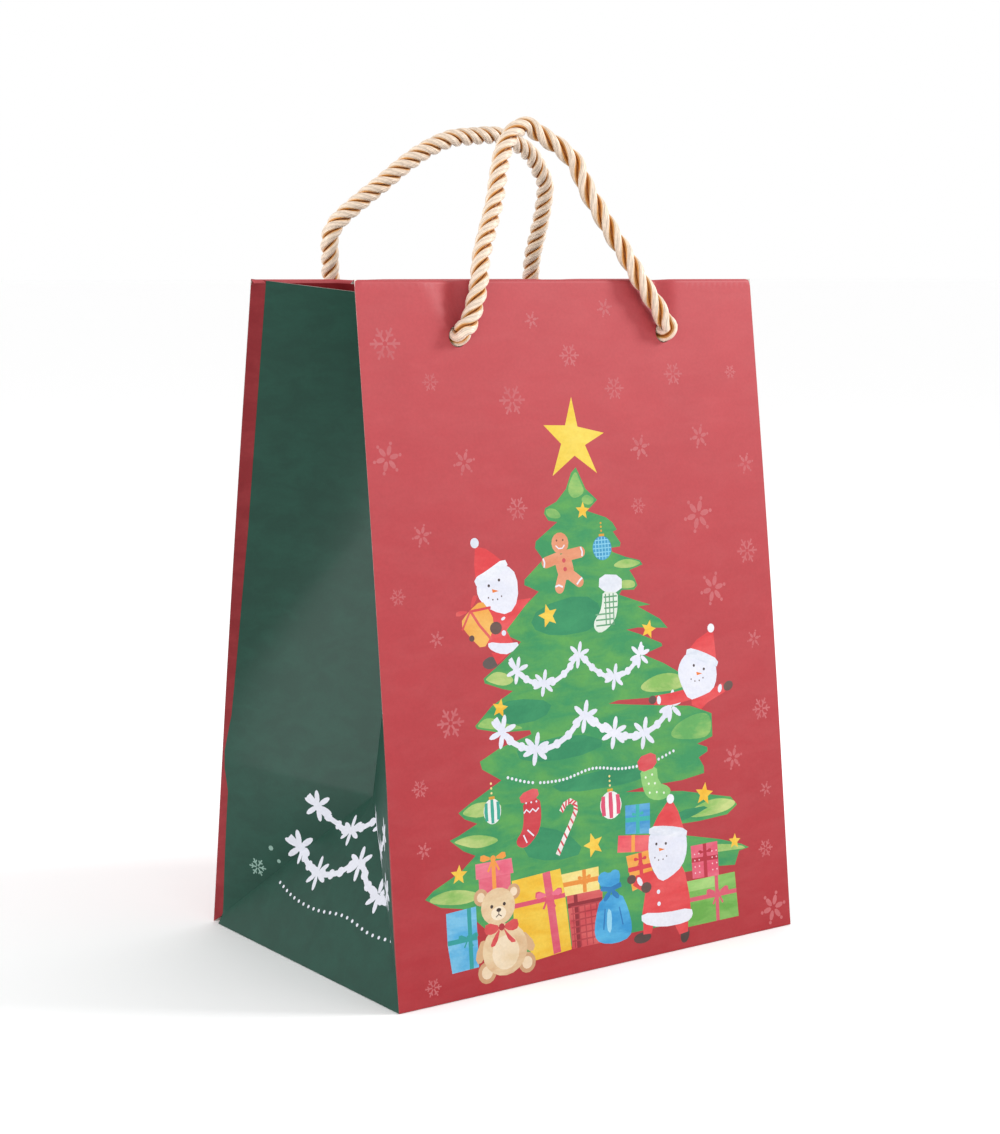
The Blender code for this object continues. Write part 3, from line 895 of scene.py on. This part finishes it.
paint(COAT, COAT_WASH, [(38, 122), (52.4, 121), (57.5, 121.2), (47.3, 112), (50, 107), (41, 106), (38, 112)])
paint("#5f5350", "#6d5f58", softened([
    (37.6, 103.4), (41, 104.6), (42.8, 103), (44, 101.4), (40, 100.2), (37.4, 101.4),
]))
paint(COAT, COAT_WASH, [(41, 105.6), (47.4, 104.6), (43, 101.6)])
paint(WHITE, WHITE_WASH, softened([
    (40, 109), (46, 107.9), (52.8, 107.8), (48, 104.3), (43.5, 105), (40, 107),
]))
paint(WHITE, WHITE_WASH, softened([
    (37.6, 129), (44, 132.4), (48.8, 132.4), (52.6, 129), (52.6, 121), (48.6, 116.6), (42.2, 118.4),
    (38, 121.8), (36.8, 125),
]))
paint(COAT, COAT_WASH, [(37.4, 138.8), (41.3, 137.9), (45, 135.4), (48.4, 132.6), (36.8, 128), (36.6, 133.3)])
paint(
    "#eef0f7", "#d5dbe8",
    softened(band([(36.6, 127.4), (42, 129.6), (48.9, 133.1)], 3.3)), ring(37.3, 139.9, 1.6),
)
snow_face(((41.6, 126.3), (45.6, 127.8)), (43.2, 124.6))
paint(COAL_SMILE, COAL_SMILE, *dots(0.3, (41.2, 122.6), (42.8, 121.9), (44.6, 121.9), (46.2, 122.7)))
paint("#eaa447", "#f0ba62", softened([
    (29.8, 115.5), (33.4, 119), (38.5, 122.2), (41, 119), (42.8, 115.5), (41.8, 111.4), (38, 106.5),
    (33.4, 111),
]))
paint(
    "#d6464a", "#e06a63",
    band([(34, 119.2), (37, 114.6), (41.4, 109.6)], 0.9), band([(34.4, 119), (41.8, 119.6)], 0.8),
    band([(34, 119), (30.6, 113.4)], 0.7), softened([(34, 119), (28.6, 117.4), (28.8, 119.6)]),
    softened([(34, 119), (35.2, 124), (37.4, 123.4)]),
)
paint(MITT, MITT_WASH, ring(43.3, 113, 2.3, 2.0), ring(34, 110.6, 1.0))
paint(WHITE, WHITE_WASH, ring(46.3, 115.7, 0.9, 0.5, 8, 0.4), ring(46.2, 111.2, 0.9, count=8))

paint(
    COAT, COAT_WASH,
    [(104.8, 82), (112, 81.2), (121, 82), (122, 86), (112, 85.2), (105, 85)],
    [(121, 84), (121, 80.3), (125, 78.3), (128, 80.3), (136, 83), (135, 86), (130, 84.6), (128, 86)],
)
paint(WHITE, WHITE_WASH, ring(107, 83.4, 0.9, 1.5, 8), ring(133.8, 84.4, 0.9, 1.5, 8, -0.3))
paint(MITT, MITT_WASH, ring(104.3, 83.8, 1.7, 1.4), ring(137.6, 84.9, 2.2, 1.6, turn=0.3))
paint(WHITE, WHITE_WASH, softened([
    (120, 97.6), (126, 97), (132.6, 93), (132.8, 88), (130.6, 84), (125, 82.6), (120, 81.8), (117, 87),
    (115.6, 91.6), (117, 95),
]))
paint(COAT, COAT_WASH, [(130.3, 103.9), (132.4, 103.2), (133, 94), (121, 98.6), (124.8, 101.6)])
paint(
    "#eef0f7", "#d5dbe8",
    softened(band([(120, 98), (126.5, 96), (133.4, 92.6)], 3.2)), ring(131.4, 104.9, 1.5),
)
snow_face(((122.9, 93.2), (127.2, 91.6)), (124.3, 90.4))
paint(COAL_SMILE, COAL_SMILE, *dots(0.3, (121.4, 88.8), (123, 88), (124.9, 88), (126.6, 88.7)))

# Presents heaped at the foot of the tree
def present(corners, ink, wash, ribbon, bands, bow=None, bow_size=2.6):
    """A wrapped box: its outline, papers, ribbon bands and a bow."""
    paint(ink, wash, corners)
    for line in bands:
        paint(ribbon, ribbon, band(line, 1.5))
    if bow:
        x, y = bow
        s = bow_size
        paint(
            ribbon, ribbon,
            softened([(x, y), (x - 1.9 * s, y + 0.9 * s), (x - 2.1 * s, y - 0.3 * s)]),
            softened([(x, y), (x + 1.9 * s, y + 0.9 * s), (x + 2.1 * s, y - 0.3 * s)]),
            band([(x, y), (x - 0.9 * s, y - 1.6 * s)], 0.3 * s),
            band([(x, y), (x + 0.9 * s, y - 1.6 * s)], 0.3 * s), ring(x, y, 0.45 * s, count=8),
        )


present(
    [(90.5, 50.8), (100.8, 50.3), (100.3, 40.3), (90, 41.5)], "#3f93cc", "#6cb4d8", "#37b0a5",
    [[(95.6, 50.5), (95.2, 41)], [(90.3, 46), (100.5, 45.4)]], (95.5, 47.2), 1.2,
)
present(
    [(87, 41.5), (100, 39.8), (99.3, 34.5), (86.3, 36)], "#e2495a", "#ee6f72", "#f3a24a",
    [[(93.2, 40.8), (92.8, 35.2)]],
)
present(
    [(89.8, 34.3), (100.5, 35), (100.5, 24.5), (91.8, 22.5)], "#ef9b3c", "#f3b45a", "#d93d4b",
    [[(95.6, 34.6), (96, 23.6)], [(90.4, 29.6), (100.5, 29.9)]], (95.6, 32.4), 1.3,
)
present(
    [(117.3, 33.5), (129, 33.5), (129, 21.8), (117.5, 22.5)], "#dc4b68", "#e46f83", "#b52b3d",
    [[(123.3, 33.5), (123.3, 22)], [(117.4, 28.6), (129, 28.2)]], (123.3, 30.6), 1.4,
)
dotted = [(i, j) for i in (0, 1, 4, 5) for j in range(4)]
paint("#f3c3cc", "#f3c3cc", *[ring(118.8 + 1.9 * i, 24.2 + 2.1 * j, 0.3, count=6) for i, j in dotted])
present(
    [(115, 22), (136, 22), (136.8, 6.8), (113.3, 6.8)], "#67a946", "#8cc063", "#d65a6e",
    [[(127.8, 22), (127.6, 6.8)], [(114.4, 15.6), (136.4, 15.6)]], (128, 16.4), 2.4,
)
paint("#8fc468", "#a8d27c", [(114.8, 22), (126.9, 22), (126.9, 18.4), (114.6, 18.4)])
present(
    [(18.8, 27.3), (30, 27.8), (30, 8.8), (20, 8.5), (18.8, 17.5)], "#4fa9d9", "#86c8e6", "#2c9a97",
    [[(27.3, 27.7), (27.3, 8.7)], [(18.9, 18), (30, 18.2)]], (26.6, 18.6), 1.8,
)
present(
    [(31.5, 36.5), (43.6, 36.5), (43.5, 31), (31.5, 31)], "#d94f6a", "#e57588", "#ef9a44",
    [[(37.3, 36), (37.3, 31)]],
)
present(
    [(30.5, 40.8), (44.3, 40.8), (44.8, 36), (30.5, 36)], "#e2607a", "#ec8a9a", "#ef9a44",
    [[(37.3, 40.8), (37.3, 36)]], (37.3, 41.6), 2.4,
)
present(
    [(63.3, 32.5), (78.3, 32.8), (78.3, 25.3), (64.5, 25.3)], "#eed36a", "#f4e193", "#e8913a",
    [[(63.6, 29), (78.3, 29)], [(72.4, 32.7), (72.4, 25.4)]], (72.4, 30), 1.3,
)
present(
    [(44, 33.5), (63, 34.5), (64.5, 25), (66, 8), (51.5, 7), (44, 21)], "#ecb92e", "#f3d04e", "#d9506a",
    [[(57.3, 34.2), (58.4, 26), (60.3, 7.8)], [(44, 25.4), (64.4, 25.8)]], (58, 26.8), 2.6,
)
paint("#d9506a", "#e06d80", band([(57.4, 34.2), (58.6, 24), (60.3, 7.8)], 3.0))
paint(
    "#e8708a", "#e8708a",
    softened([(58, 26.8), (53.6, 28.6), (52.8, 25.8)]),
    softened([(58, 26.8), (62.6, 28.8), (63.2, 26)]),
)
present(
    [(65, 25.3), (79.5, 25.3), (78.5, 8), (66.3, 8)], "#c9414a", "#d6605f", "#8f2530",
    [[(65.2, 22), (79.2, 22)], [(68.5, 25.2), (69, 8)]],
)
for i in range(6):
    paint("#a82f3a", "#b8434a", band([(66.4, 10.4 + 2.2 * i), (78.9, 10.4 + 2.2 * i)], 0.5))
for i in range(5):
    paint("#a82f3a", "#b8434a", band([(67.6 + 2.4 * i, 8.2), (67.2 + 2.4 * i, 21.4)], 0.45))

# Blue sack with a frilled neck
paint(
    "#2f93cf", "#56b3e0",
    softened([
        (78.5, 22.6), (76, 16), (75.3, 10.5), (77.5, 7.8), (84, 6.6), (90, 7.8), (91, 11.5),
        (89.6, 17.5), (87, 23),
    ]),
    softened([(79.5, 25), (77.3, 29), (80, 31), (82.6, 29.8), (84.6, 31), (87.2, 29.8), (86.2, 25)]),
)
paint(
    "#1f6fae", "#2f83c0",
    band([(78.8, 25.4), (83, 24.6), (87.2, 25.6)], 1.6),
    softened([(82.6, 25), (79.4, 22), (80.4, 20.6), (83, 23)]),
    softened([(83.2, 25), (86.6, 22.4), (85.6, 20.8), (83, 23)]), band([(80.2, 18.6), (79.2, 12)], 0.5),
    band([(86, 18.4), (87.2, 12.4)], 0.5),
)
paint("#8fd0ea", "#a5dbef", softened([(81.2, 19), (80.4, 12), (82.2, 10), (83, 17)]))

# Teddy bear with a red bow
BEAR, BEAR_WASH = "#e6cda6", "#d6ae84"
paint(
    "#c99b72", "#d0a680",
    ring(32, 30.2, 2.7), ring(44.5, 30.2, 2.5), ring(33, 6.5, 3.5), ring(48.4, 7, 3.3),
)
paint(
    "#efd9bd", "#e6cda6",
    ring(32, 30.2, 1.5), ring(44.5, 30.2, 1.4), ring(33, 6.5, 2.1), ring(48.4, 7, 2.0),
)
paint(
    "#d5ad82", BEAR_WASH,
    softened([(32, 18), (28.6, 12), (30, 9), (34, 13)]),
    softened([(47, 18), (52, 12.6), (50.6, 9.6), (46, 13)]),
)
paint(BEAR, BEAR_WASH, ring(40.2, 12.6, 8.6, 8.2, 20))
paint("#f0dec2", BEAR, ring(40.4, 11.6, 5.2, 5.4, 16))
paint(BEAR, BEAR_WASH, ring(38.3, 26.4, 6.5, 5.9, 20))
paint("#f3e4cc", "#ecd6b4", ring(38.4, 24.3, 2.9, 2.2))
paint(
    "#3e2f2c", "#3e2f2c",
    ring(35.9, 26.7, 0.6, count=8), ring(40.7, 26.9, 0.6, count=8), ring(38.5, 25.3, 0.95, 0.65, 8),
    band([(38.5, 24.8), (38.4, 23.9), (37.3, 23.2)], 0.3), band([(38.4, 23.9), (39.5, 23.2)], 0.3),
)
paint(
    "#cf3f45", "#dc5d5c",
    softened([(39.3, 20), (33.4, 22.2), (32.4, 18.6), (36, 17.8)]),
    softened([(39.3, 20), (45.2, 22.2), (46, 18.6), (42.6, 17.8)]),
    softened([(39, 20), (36, 17), (34.4, 14), (37, 14.4)]),
    softened([(39.6, 20), (42, 17), (45, 14.2), (42, 14.4)]),
)
paint("#a92c35", "#b93a40", ring(39.3, 19.8, 1.2, count=8))

# The walking snowman in front of the presents
paint("#4b3835", "#5c4643", ring(95, 6.6, 3.7, 1.8), ring(113, 4.6, 1.9, 2.8, turn=-0.3))
paint(
    COAT, COAT_WASH,
    [(95.6, 11.6), (100, 11), (99, 7.4), (95.4, 7.6)],
    [(108.6, 9), (114.6, 9), (114.4, 5.4), (110.6, 5)],
)
paint(COAT, COAT_WASH, [
    (100.5, 28), (104, 24.6), (113, 27.6), (114.4, 25), (115.8, 17), (116, 12.4), (95.3, 14.2),
    (97, 21), (92, 24.4), (93.6, 27.4),
])
paint(
    WHITE, WHITE_WASH,
    softened([
        (95, 14.8), (105, 13.2), (116.3, 13.2), (116.9, 10.3), (114, 8.4), (103, 8.6), (95, 11.3),
    ]),
    ring(102.6, 20.6, 0.75, count=8), ring(102.6, 16.6, 0.75, count=8),
    ring(95, 25.2, 1.0, 1.7, 8, 0.5),
)
paint(MITT, MITT_WASH, ring(97.6, 22.8, 2.2, 1.8), ring(91.6, 26.4, 1.9, 1.5))
paint(WHITE, WHITE_WASH, softened([
    (100, 41), (107, 42), (115.6, 38.4), (115.8, 32.5), (113.4, 27.5), (108, 24.6), (103.6, 23.6),
    (100.3, 28.6), (99, 34),
]))
paint(COAT, COAT_WASH, [(108.2, 49.6), (110.8, 49), (112.6, 46), (114.8, 39.6), (101.2, 41.8), (104, 45.6)])
paint(
    "#eef0f7", "#d5dbe8",
    softened(band([(99.9, 41), (107.6, 40.2), (115.9, 38)], 3.2)), ring(109.6, 50.4, 1.6),
)
snow_face(((102.7, 36.4), (106.7, 36)), (104.1, 34.4))
paint(COAL_SMILE, COAL_SMILE, *dots(0.3, (101.8, 32), (103.3, 31), (105.2, 31), (106.8, 31.8)))

# Painted light in part: the red ground runs from the darker base ink up to the lighter rim ink
RED_INK_AND_PAINTED_LIGHT = (linear(RED_LOW), linear(RED_HIGH))


def red_ground(spot):
    """The ground is painted lighter towards the rim: partly painted light, partly the print's deeper red
    towards the base.
    """
    tone = mix(*RED_INK_AND_PAINTED_LIGHT, spot.y / HEIGHT)
    return tone, mix(tone, linear("#e08a8a"), 0.05)


def front_inks(top, spot):
    """Ink and wash of the front picture at a spot."""
    return red_ground(spot) if top < 0 else art[top][1:]


def hole_outlines(side):
    """The punched holes of a wall, in millimetres from its bottom left corner."""
    up = LENGTH[side] - HOLE_BELOW_RIM
    spots = [x * cos(TURN[side]) for x in HOLES]
    return [ring(x - taper(side, x, up) + WIDTH / 2, up, HOLE_RADIUS, count=24) for x in spots]


def wall_outline(side):
    """A wall's flat sheet, up to the end of the fold over the rim."""
    top = LENGTH[side] - RIM_RADIUS + pi * RIM_RADIUS
    return [(0, 0), (WIDTH, 0), (WIDTH, top), (0, top)]


def rim_folds(side):
    """Lines that let a wall's sheet roll over the rim."""
    top = LENGTH[side] - RIM_RADIUS
    return [((0.5, top + k * pi * RIM_RADIUS / 6),
        (WIDTH - 0.5, top + k * pi * RIM_RADIUS / 6)) for k in range(6)]


piece = paper_piece(
    "front_printed_wall", cut_sheet(wall_outline("front"), art, hole_outlines("front"), rim_folds("front")),
    front_inks, lambda p: wall_point("front", p.x - WIDTH / 2, p.y),
)
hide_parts("front_panel")
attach(piece, "front_wall")


# --- Plain back wall ---------------------------------------------------------
# The same sheet as the front, with the red ground and snowflakes but no
# picture; it carries the maker's fold where the bag was packed flat.

back_art = [
    (outline, linear("#c8696d"), linear("#c25a5f"))
    for i, (x, y, r) in enumerate(FLAKES)
    for outline in snowflake(WIDTH - x, y, r, i % 2)
]


def back_inks(top, spot):
    """Ink and wash of the back wall at a spot."""
    return red_ground(spot) if top < 0 else back_art[top][1:]


FLAT_FOLD = DEPTH / 2  # the packing crease, level with the gussets' folds
FLAT_FOLD_DIP = 0.9
FLAT_FOLD_REACH = 9.0


def back_point(spot):
    """The back wall, set back a little along its packing crease."""
    near = min(1.0, min(spot.x, WIDTH - spot.x) / 12)
    dip = FLAT_FOLD_DIP * near * max(0.0, 1 - abs(spot.y - FLAT_FOLD) / FLAT_FOLD_REACH)
    inwards = crease("back").to_3x3() @ Vector((0, dip * MM, 0))
    return wall_point("back", spot.x - WIDTH / 2, spot.y) + inwards


piece = paper_piece(
    "back_printed_wall",
    cut_sheet(
        wall_outline("back"), back_art, hole_outlines("back"),
        [*rim_folds("back"), ((0.5, FLAT_FOLD), (WIDTH - 0.5, FLAT_FOLD))],
    ),
    back_inks, back_point,
)
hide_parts("back_panel")
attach(piece, "back_wall")


# --- Board strips and turned-in hems of the walls ----------------------------
# A strip of grey board stiffens each rim. The printed sheet is folded in over
# it and glued down, so the red print shows inside as a hem.

CARD_MARGIN = 9.0
CARD_HEIGHT = 36.0
HEM_HEIGHT = 32.0
CARD_IN = PAPER + 0.5  # the strip clears the bent sheet
HEM_IN = CARD_IN + CARD + GAP

grey_board, tree, shader = new_material("grey_board", Roughness=0.85, IOR=1.45)
place = add(tree, "TexCoord").outputs["Object"]
pulp = add(
    tree, "TexNoise", inputs={"Vector": place, "Scale": 1 / (0.7 * MM), "Detail": 6.0, "Roughness": 0.7}
)
flecks = ramp(tree, pulp.outputs["Fac"], [(0.3, "#837a6c"), (0.5, "#a39a8c"), (0.72, "#b9b1a3")])
tree.links.new(flecks, shader.inputs["Base Color"])
rough = add(tree, "Bump", inputs={"Strength": 0.4, "Distance": 0.1 * MM, "Height": pulp.outputs["Fac"]})
tree.links.new(rough.outputs["Normal"], shader.inputs["Normal"])


def hem_inks_in_painted_shade(top, spot):
    """The hem shows the red ground seen from inside, painted a darker red for the shade inside the bag."""
    return linear("#8c141d"), linear("#981f27")


for side in ("front", "back"):
    top = LENGTH[side]
    for label, depth, thick, bottom, high in (
        ("card_strip", CARD_IN, CARD, top - CARD_HEIGHT, top - 1.2),
        ("turned_hem", HEM_IN, PAPER, top - HEM_HEIGHT, top - RIM_RADIUS),
    ):
        far = WIDTH - CARD_MARGIN
        outline = [(CARD_MARGIN, bottom), (far, bottom), (far, high), (CARD_MARGIN, high)]
        hem = label == "turned_hem"
        piece = paper_piece(
            f"{side}_{label}", cut_sheet(outline, [], hole_outlines(side)), hem_inks_in_painted_shade,
            lambda p: wall_point(side, p.x - WIDTH / 2, p.y, depth + (thick if hem else 0.0)),
            lambda p: thick, turned=hem, stock=None if hem else [grey_board, grey_board],
        )
        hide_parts(side + ("_hem" if hem else "_card"))
        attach(piece, side + "_wall")


# --- Side gussets ------------------------------------------------------------
# Green printed sheets creased into a base triangle, two folded corners and two
# upper halves that meet at a pleat pushed into the bag. The left one is a
# separate sheet glued over the back wall's red seam flap. Each half is one
# piece from the pleat to its wall.

HALF = DEPTH / 2
PLEAT_LOW = (52.2, -0.6, 52.1)  # the pleat's ends: out from the middle, back, up
PLEAT_HIGH = (30.6, -2.4, 213.0)
GUSSET_HEM_MARGIN = 5.5  # between a gusset's turned-in hem and the wall's edge
GUSSET_HEM_IN = 1.5  # how far inside the gusset's face the hem lies, and the flap
FLAP_IN = 0.65
FLAP_THICKNESS = 0.25
FLAP_WIDTH = 16.0
FINE_GRID = 2.0  # spacing of a gusset's points
GREEN, GREEN_WASH = "#0f4234", "#144a3b"


def lerp(a, b, t):
    """The point a share of the way from a to b."""
    return a + (b - a) * t


def gusset_frame(across, side):
    """The named corners of one half gusset, in millimetres."""
    way = -1 if side == "front" else 1
    edge = across * WIDTH / 2
    foot = Vector((edge, way * HALF, 0))
    rim = Vector((edge, way * (HALF - LEAN[side]), HEIGHT))
    fold = foot + (rim - foot).normalized() * HALF
    low = Vector((across * PLEAT_LOW[0], *PLEAT_LOW[1:]))
    high = Vector((across * PLEAT_HIGH[0], *PLEAT_HIGH[1:]))
    return foot, fold, rim, low, high, Vector((edge, 0, 0))


def hollow(s, t):
    """How far the upper half stands out, as a share of its spare width."""
    line = 0.2 + 0.42 * s  # a soft bend crosses the half, rising to the pleat
    fall = t / line if t < line else (1 - t) / (1 - line)
    fall = fall - 0.35 * max(0.0, fall - 0.75) ** 2 / 0.25
    return (1 - s) * t - 0.82 * s * (1 - s) * fall


def edge_shift(across, side, q):
    """How far a wall's bowed, tapered side edge stands from the straight one."""
    foot, fold, rim, *_ = gusset_frame(across, side)
    right = (across > 0) == (side == "front")
    true = wall_point(side, WIDTH / 2 if right else -WIDTH / 2, min(q, LENGTH[side] - 0.01), 1e-6) / MM
    return true - lerp(foot, rim, q / LENGTH[side])


def half_point(across, side, p, q, depth=0.0):
    """A point of a half gusset: p in from the wall's edge, q up the sheet."""
    foot, fold, rim, low, high, middle = gusset_frame(across, side)
    top = LENGTH[side]
    q = min(q, top)
    if q >= HALF:
        s, t = p / HALF, (q - HALF) / (top - HALF)
        spare = rim - fold - high + low
        spot = fold + (low - fold) * s + (high - low) * t + spare * hollow(s, t)
    elif q > p:
        spot = foot + (fold - foot) * (q - p) / HALF + (low - foot) * p / HALF
        pillow = 27 * (q - p) / HALF * p / HALF * (HALF - q) / HALF  # 1 in the middle of the facet
        spot += Vector((across * 0.9, 0, 0.2)) * pillow
    else:
        spot = foot + (low - foot) * q / HALF + (middle - foot) * (p - q) / HALF
        pillow = 4 * q / HALF * (p - q) / HALF
        spot += Vector((across * 0.8, 0, 0.4)) * pillow
    near = max(0.0, 1 - p / HALF) ** 3
    spot = spot + edge_shift(across, side, q) * near
    if depth:
        step = 0.5
        p1, p0 = min(p + step, HALF), max(p - step, 0.0)
        q1, q0 = min(q + step, top), max(q - step, 0.0)
        along = half_point(across, side, p1, q) - half_point(across, side, p0, q)
        rising = half_point(across, side, p, q1) - half_point(across, side, p, q0)
        normal = along.cross(rising).normalized()
        if normal.x * across < 0:
            normal = -normal
        spot = spot - normal * depth
    return spot


def blend_half(piece, across):
    """Bakes a half gusset's placement into its mesh."""
    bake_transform(piece)


def bare_edge(q):
    """How much of the red seam flap shows beside the left gusset's back edge."""
    widths = [(0, 3.4), (8, 3.6), (48, 3.2), (56, 1.2), (62, 0.8), (75, 2.6), (140, 4.4), (222, 5.2)]
    return between(widths, q)


def red_sliver(q):
    """How far the front wall's red print runs round the fold at a height."""
    return between([(0, 0.1), (8, 1.6), (20, 2.4), (60, 2.0), (120, 1.1), (200, 0.25), (222, 0.2)], q)


# The side's own garland, in millimetres back from the front edge and up the sheet
side_art = [
    *garland(
        [(83, 54), (75, 48), (66, 45.4), (57, 48), (49, 53), (40, 48), (30, 45.4), (19, 48.6), (11, 55)],
        1.9, [(79, 51), (62, 46), (47, 52), (27, 45.6), (14, 52.6)], 5.4, 1.6, 4.2,
    ),
    *garland(
        [(89, 38), (80, 31.5), (70, 29), (59, 31.5), (50, 37.4), (41, 31.5), (30, 29), (18, 31.5), (9, 38)],
        2.0, [(85, 35), (70, 29), (50, 37), (34, 30), (13, 35)], 6.0, 1.8, 4.4,
    ),
    *garland([(92, 22), (77, 18.6), (62, 18), (46, 19.8), (30, 18), (15, 19)], 0, [], 1, 0.6, 1.8),
]
side_dust = [*snowflake(101, 24, 3.2, 0), ring(96, 32, 0.9, count=8), ring(93, 28, 0.7, count=8)]


for across, name in ((-1, "left"), (1, "right")):
    for side in ("front", "back"):
        top = LENGTH[side]
        seam = across < 0 and side == "back"
        heights = [0, 8, 20, 34, 48, 56, 62, 75, 100, 140, 180, top]
        edge = [(bare_edge(q) if seam else 0.0, q) for q in heights]
        outline = [(HALF, 0), (HALF, top), *reversed(edge)]
        shapes = []
        if not seam:
            share = 1 if side == "front" else 0.5
            sliver = [(0, q) for q in heights] + [(red_sliver(q) * share, q) for q in reversed(heights)]
            shapes.append((sliver, linear("#ae3038"), linear("#ba4448")))
        for outlines, ink in ((side_art, WHITE), (side_dust, "#8fb0a4")):
            for print_shape in outlines:
                if side == "back":
                    print_shape = [(DEPTH - x, y) for x, y in print_shape]
                if any(x < HALF for x, y in print_shape):
                    shapes.append((print_shape, linear(ink), linear(ink)))
        folds = [
            ((bare_edge(HALF) if seam else 0.01, HALF), (HALF, HALF)),
            ((0.5, 0.5) if not seam else (4.0, 4.0), (HALF, HALF)),
        ]
        folds += [((edge[-1][0] + 0.3, top - d), (HALF - 0.3, top - d)) for d in (0.4, 0.9)]

        def side_inks(top_shape, spot):
            """Ink and wash of a gusset at a spot."""
            if top_shape >= 0:
                return shapes[top_shape][1:]
            return linear(GREEN), linear(GREEN_WASH)

        place = lambda p: half_point(across, side, p.x, p.y) * MM
        turned = (across > 0) == (side == "back")
        piece = paper_piece(
            f"{name}_{side}_half_gusset", cut_sheet(outline, shapes, folds=folds, spacing=FINE_GRID),
            side_inks, place, gusset_thickness, turned,
        )
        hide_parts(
            f"{name}_gusset_base", f"{name}_gusset_{side}_corner", f"{name}_gusset_{side}_upper"
        )
        blend_half(piece, across)

        # The hem turned in over the gusset's rim, in the same dark red of painted shade
        low = top - HEM_HEIGHT
        hem = [(GUSSET_HEM_MARGIN, low), (HALF, low), (HALF, top), (GUSSET_HEM_MARGIN, top)]
        piece = paper_piece(
            f"{name}_{side}_gusset_hem", cut_sheet(hem, [], spacing=FINE_GRID), hem_inks_in_painted_shade,
            lambda p: half_point(across, side, p.x, p.y, GUSSET_HEM_IN) * MM, lambda p: PAPER, not turned,
        )
        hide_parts(f"{name}_gusset_{side}_hem")
        blend_half(piece, across)

        if seam:
            flap = [(0, 0), (FLAP_WIDTH, FLAP_WIDTH), (FLAP_WIDTH, top), (0, top)]
            flap_fold = ((0.01, HALF), (FLAP_WIDTH, HALF))
            piece = paper_piece(
                "back_seam_flap", cut_sheet(flap, [], folds=[flap_fold], spacing=FINE_GRID),
                # Painted shade: the flap's red is darker than the ground's, for the shade beside the gusset's
                # edge
                lambda top_shape, spot: (linear("#8f1b23"), linear("#9c2a30")),
                lambda p: half_point(across, side, p.x, p.y, min(FLAP_IN, 0.16 * p.x)) * MM,
                lambda p: FLAP_THICKNESS * min(1.0, 0.05 + p.x / CORNER_REACH), turned,
            )
            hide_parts("seam_flap")
            blend_half(piece, across)


# --- Base --------------------------------------------------------------------
# Four flaps of the printed sheets glued over each other, red from the walls and
# green from the gussets, with a loose board of grey card lying on them.

for node in ("base_flap_back", "base_flap_front", "base_flap_left", "base_flap_right"):
    ink = "#ae3038" if node in ("base_flap_back", "base_flap_front") else GREEN
    paper = printed_paper("glued_" + node, ink)
    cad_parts[node].data.materials.clear()
    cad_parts[node].data.materials.append(paper)
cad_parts["base_board"].data.materials.clear()
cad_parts["base_board"].data.materials.append(grey_board)

# --- Floor and light ---------------------------------------------------------
# A white table top and the soft, even light of a product tent: one large
# softbox to the right of the lens, a weaker one on the left and a white sky.

FLOOR = 60.0  # half its width, in metres
FLOOR_Z = -0.0002
floor_corners = [(x * FLOOR, y * FLOOR, FLOOR_Z) for x, y in ((-1, -1), (1, -1), (1, 1), (-1, 1))]
floor = make_piece("floor", floor_corners, [(0, 1, 2, 3)], [])
white_table, tree, shader = new_material("white_table_top", Roughness=0.9)
shader.inputs["Base Color"].default_value = (0.99, 0.99, 0.99, 1)
floor.data.materials.append(white_table)
floor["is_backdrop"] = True

world = bpy.data.worlds.new("studio")
world.use_nodes = True
world.node_tree.nodes["Background"].inputs["Color"].default_value = (1, 1, 1, 1)
world.node_tree.nodes["Background"].inputs["Strength"].default_value = 1.0
scene.world = world


def softbox(name, place, aim, size, power):
    """A square soft light that faces a point."""
    data = bpy.data.lights.new(name, "AREA")
    data.size = size
    data.energy = power
    light = bpy.data.objects.new(name, data)
    light.location = place
    light.rotation_euler = (Vector(aim) - Vector(place)).to_track_quat("-Z", "Y").to_euler()
    scene.collection.objects.link(light)


softbox("key", (1.1, -0.75, 0.85), (0, 0, 0.14), 0.35, 12.5)
softbox("fill", (-1.2, 0.02, 0.16), (0, 0, 0.11), 0.5, 6)

low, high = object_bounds()
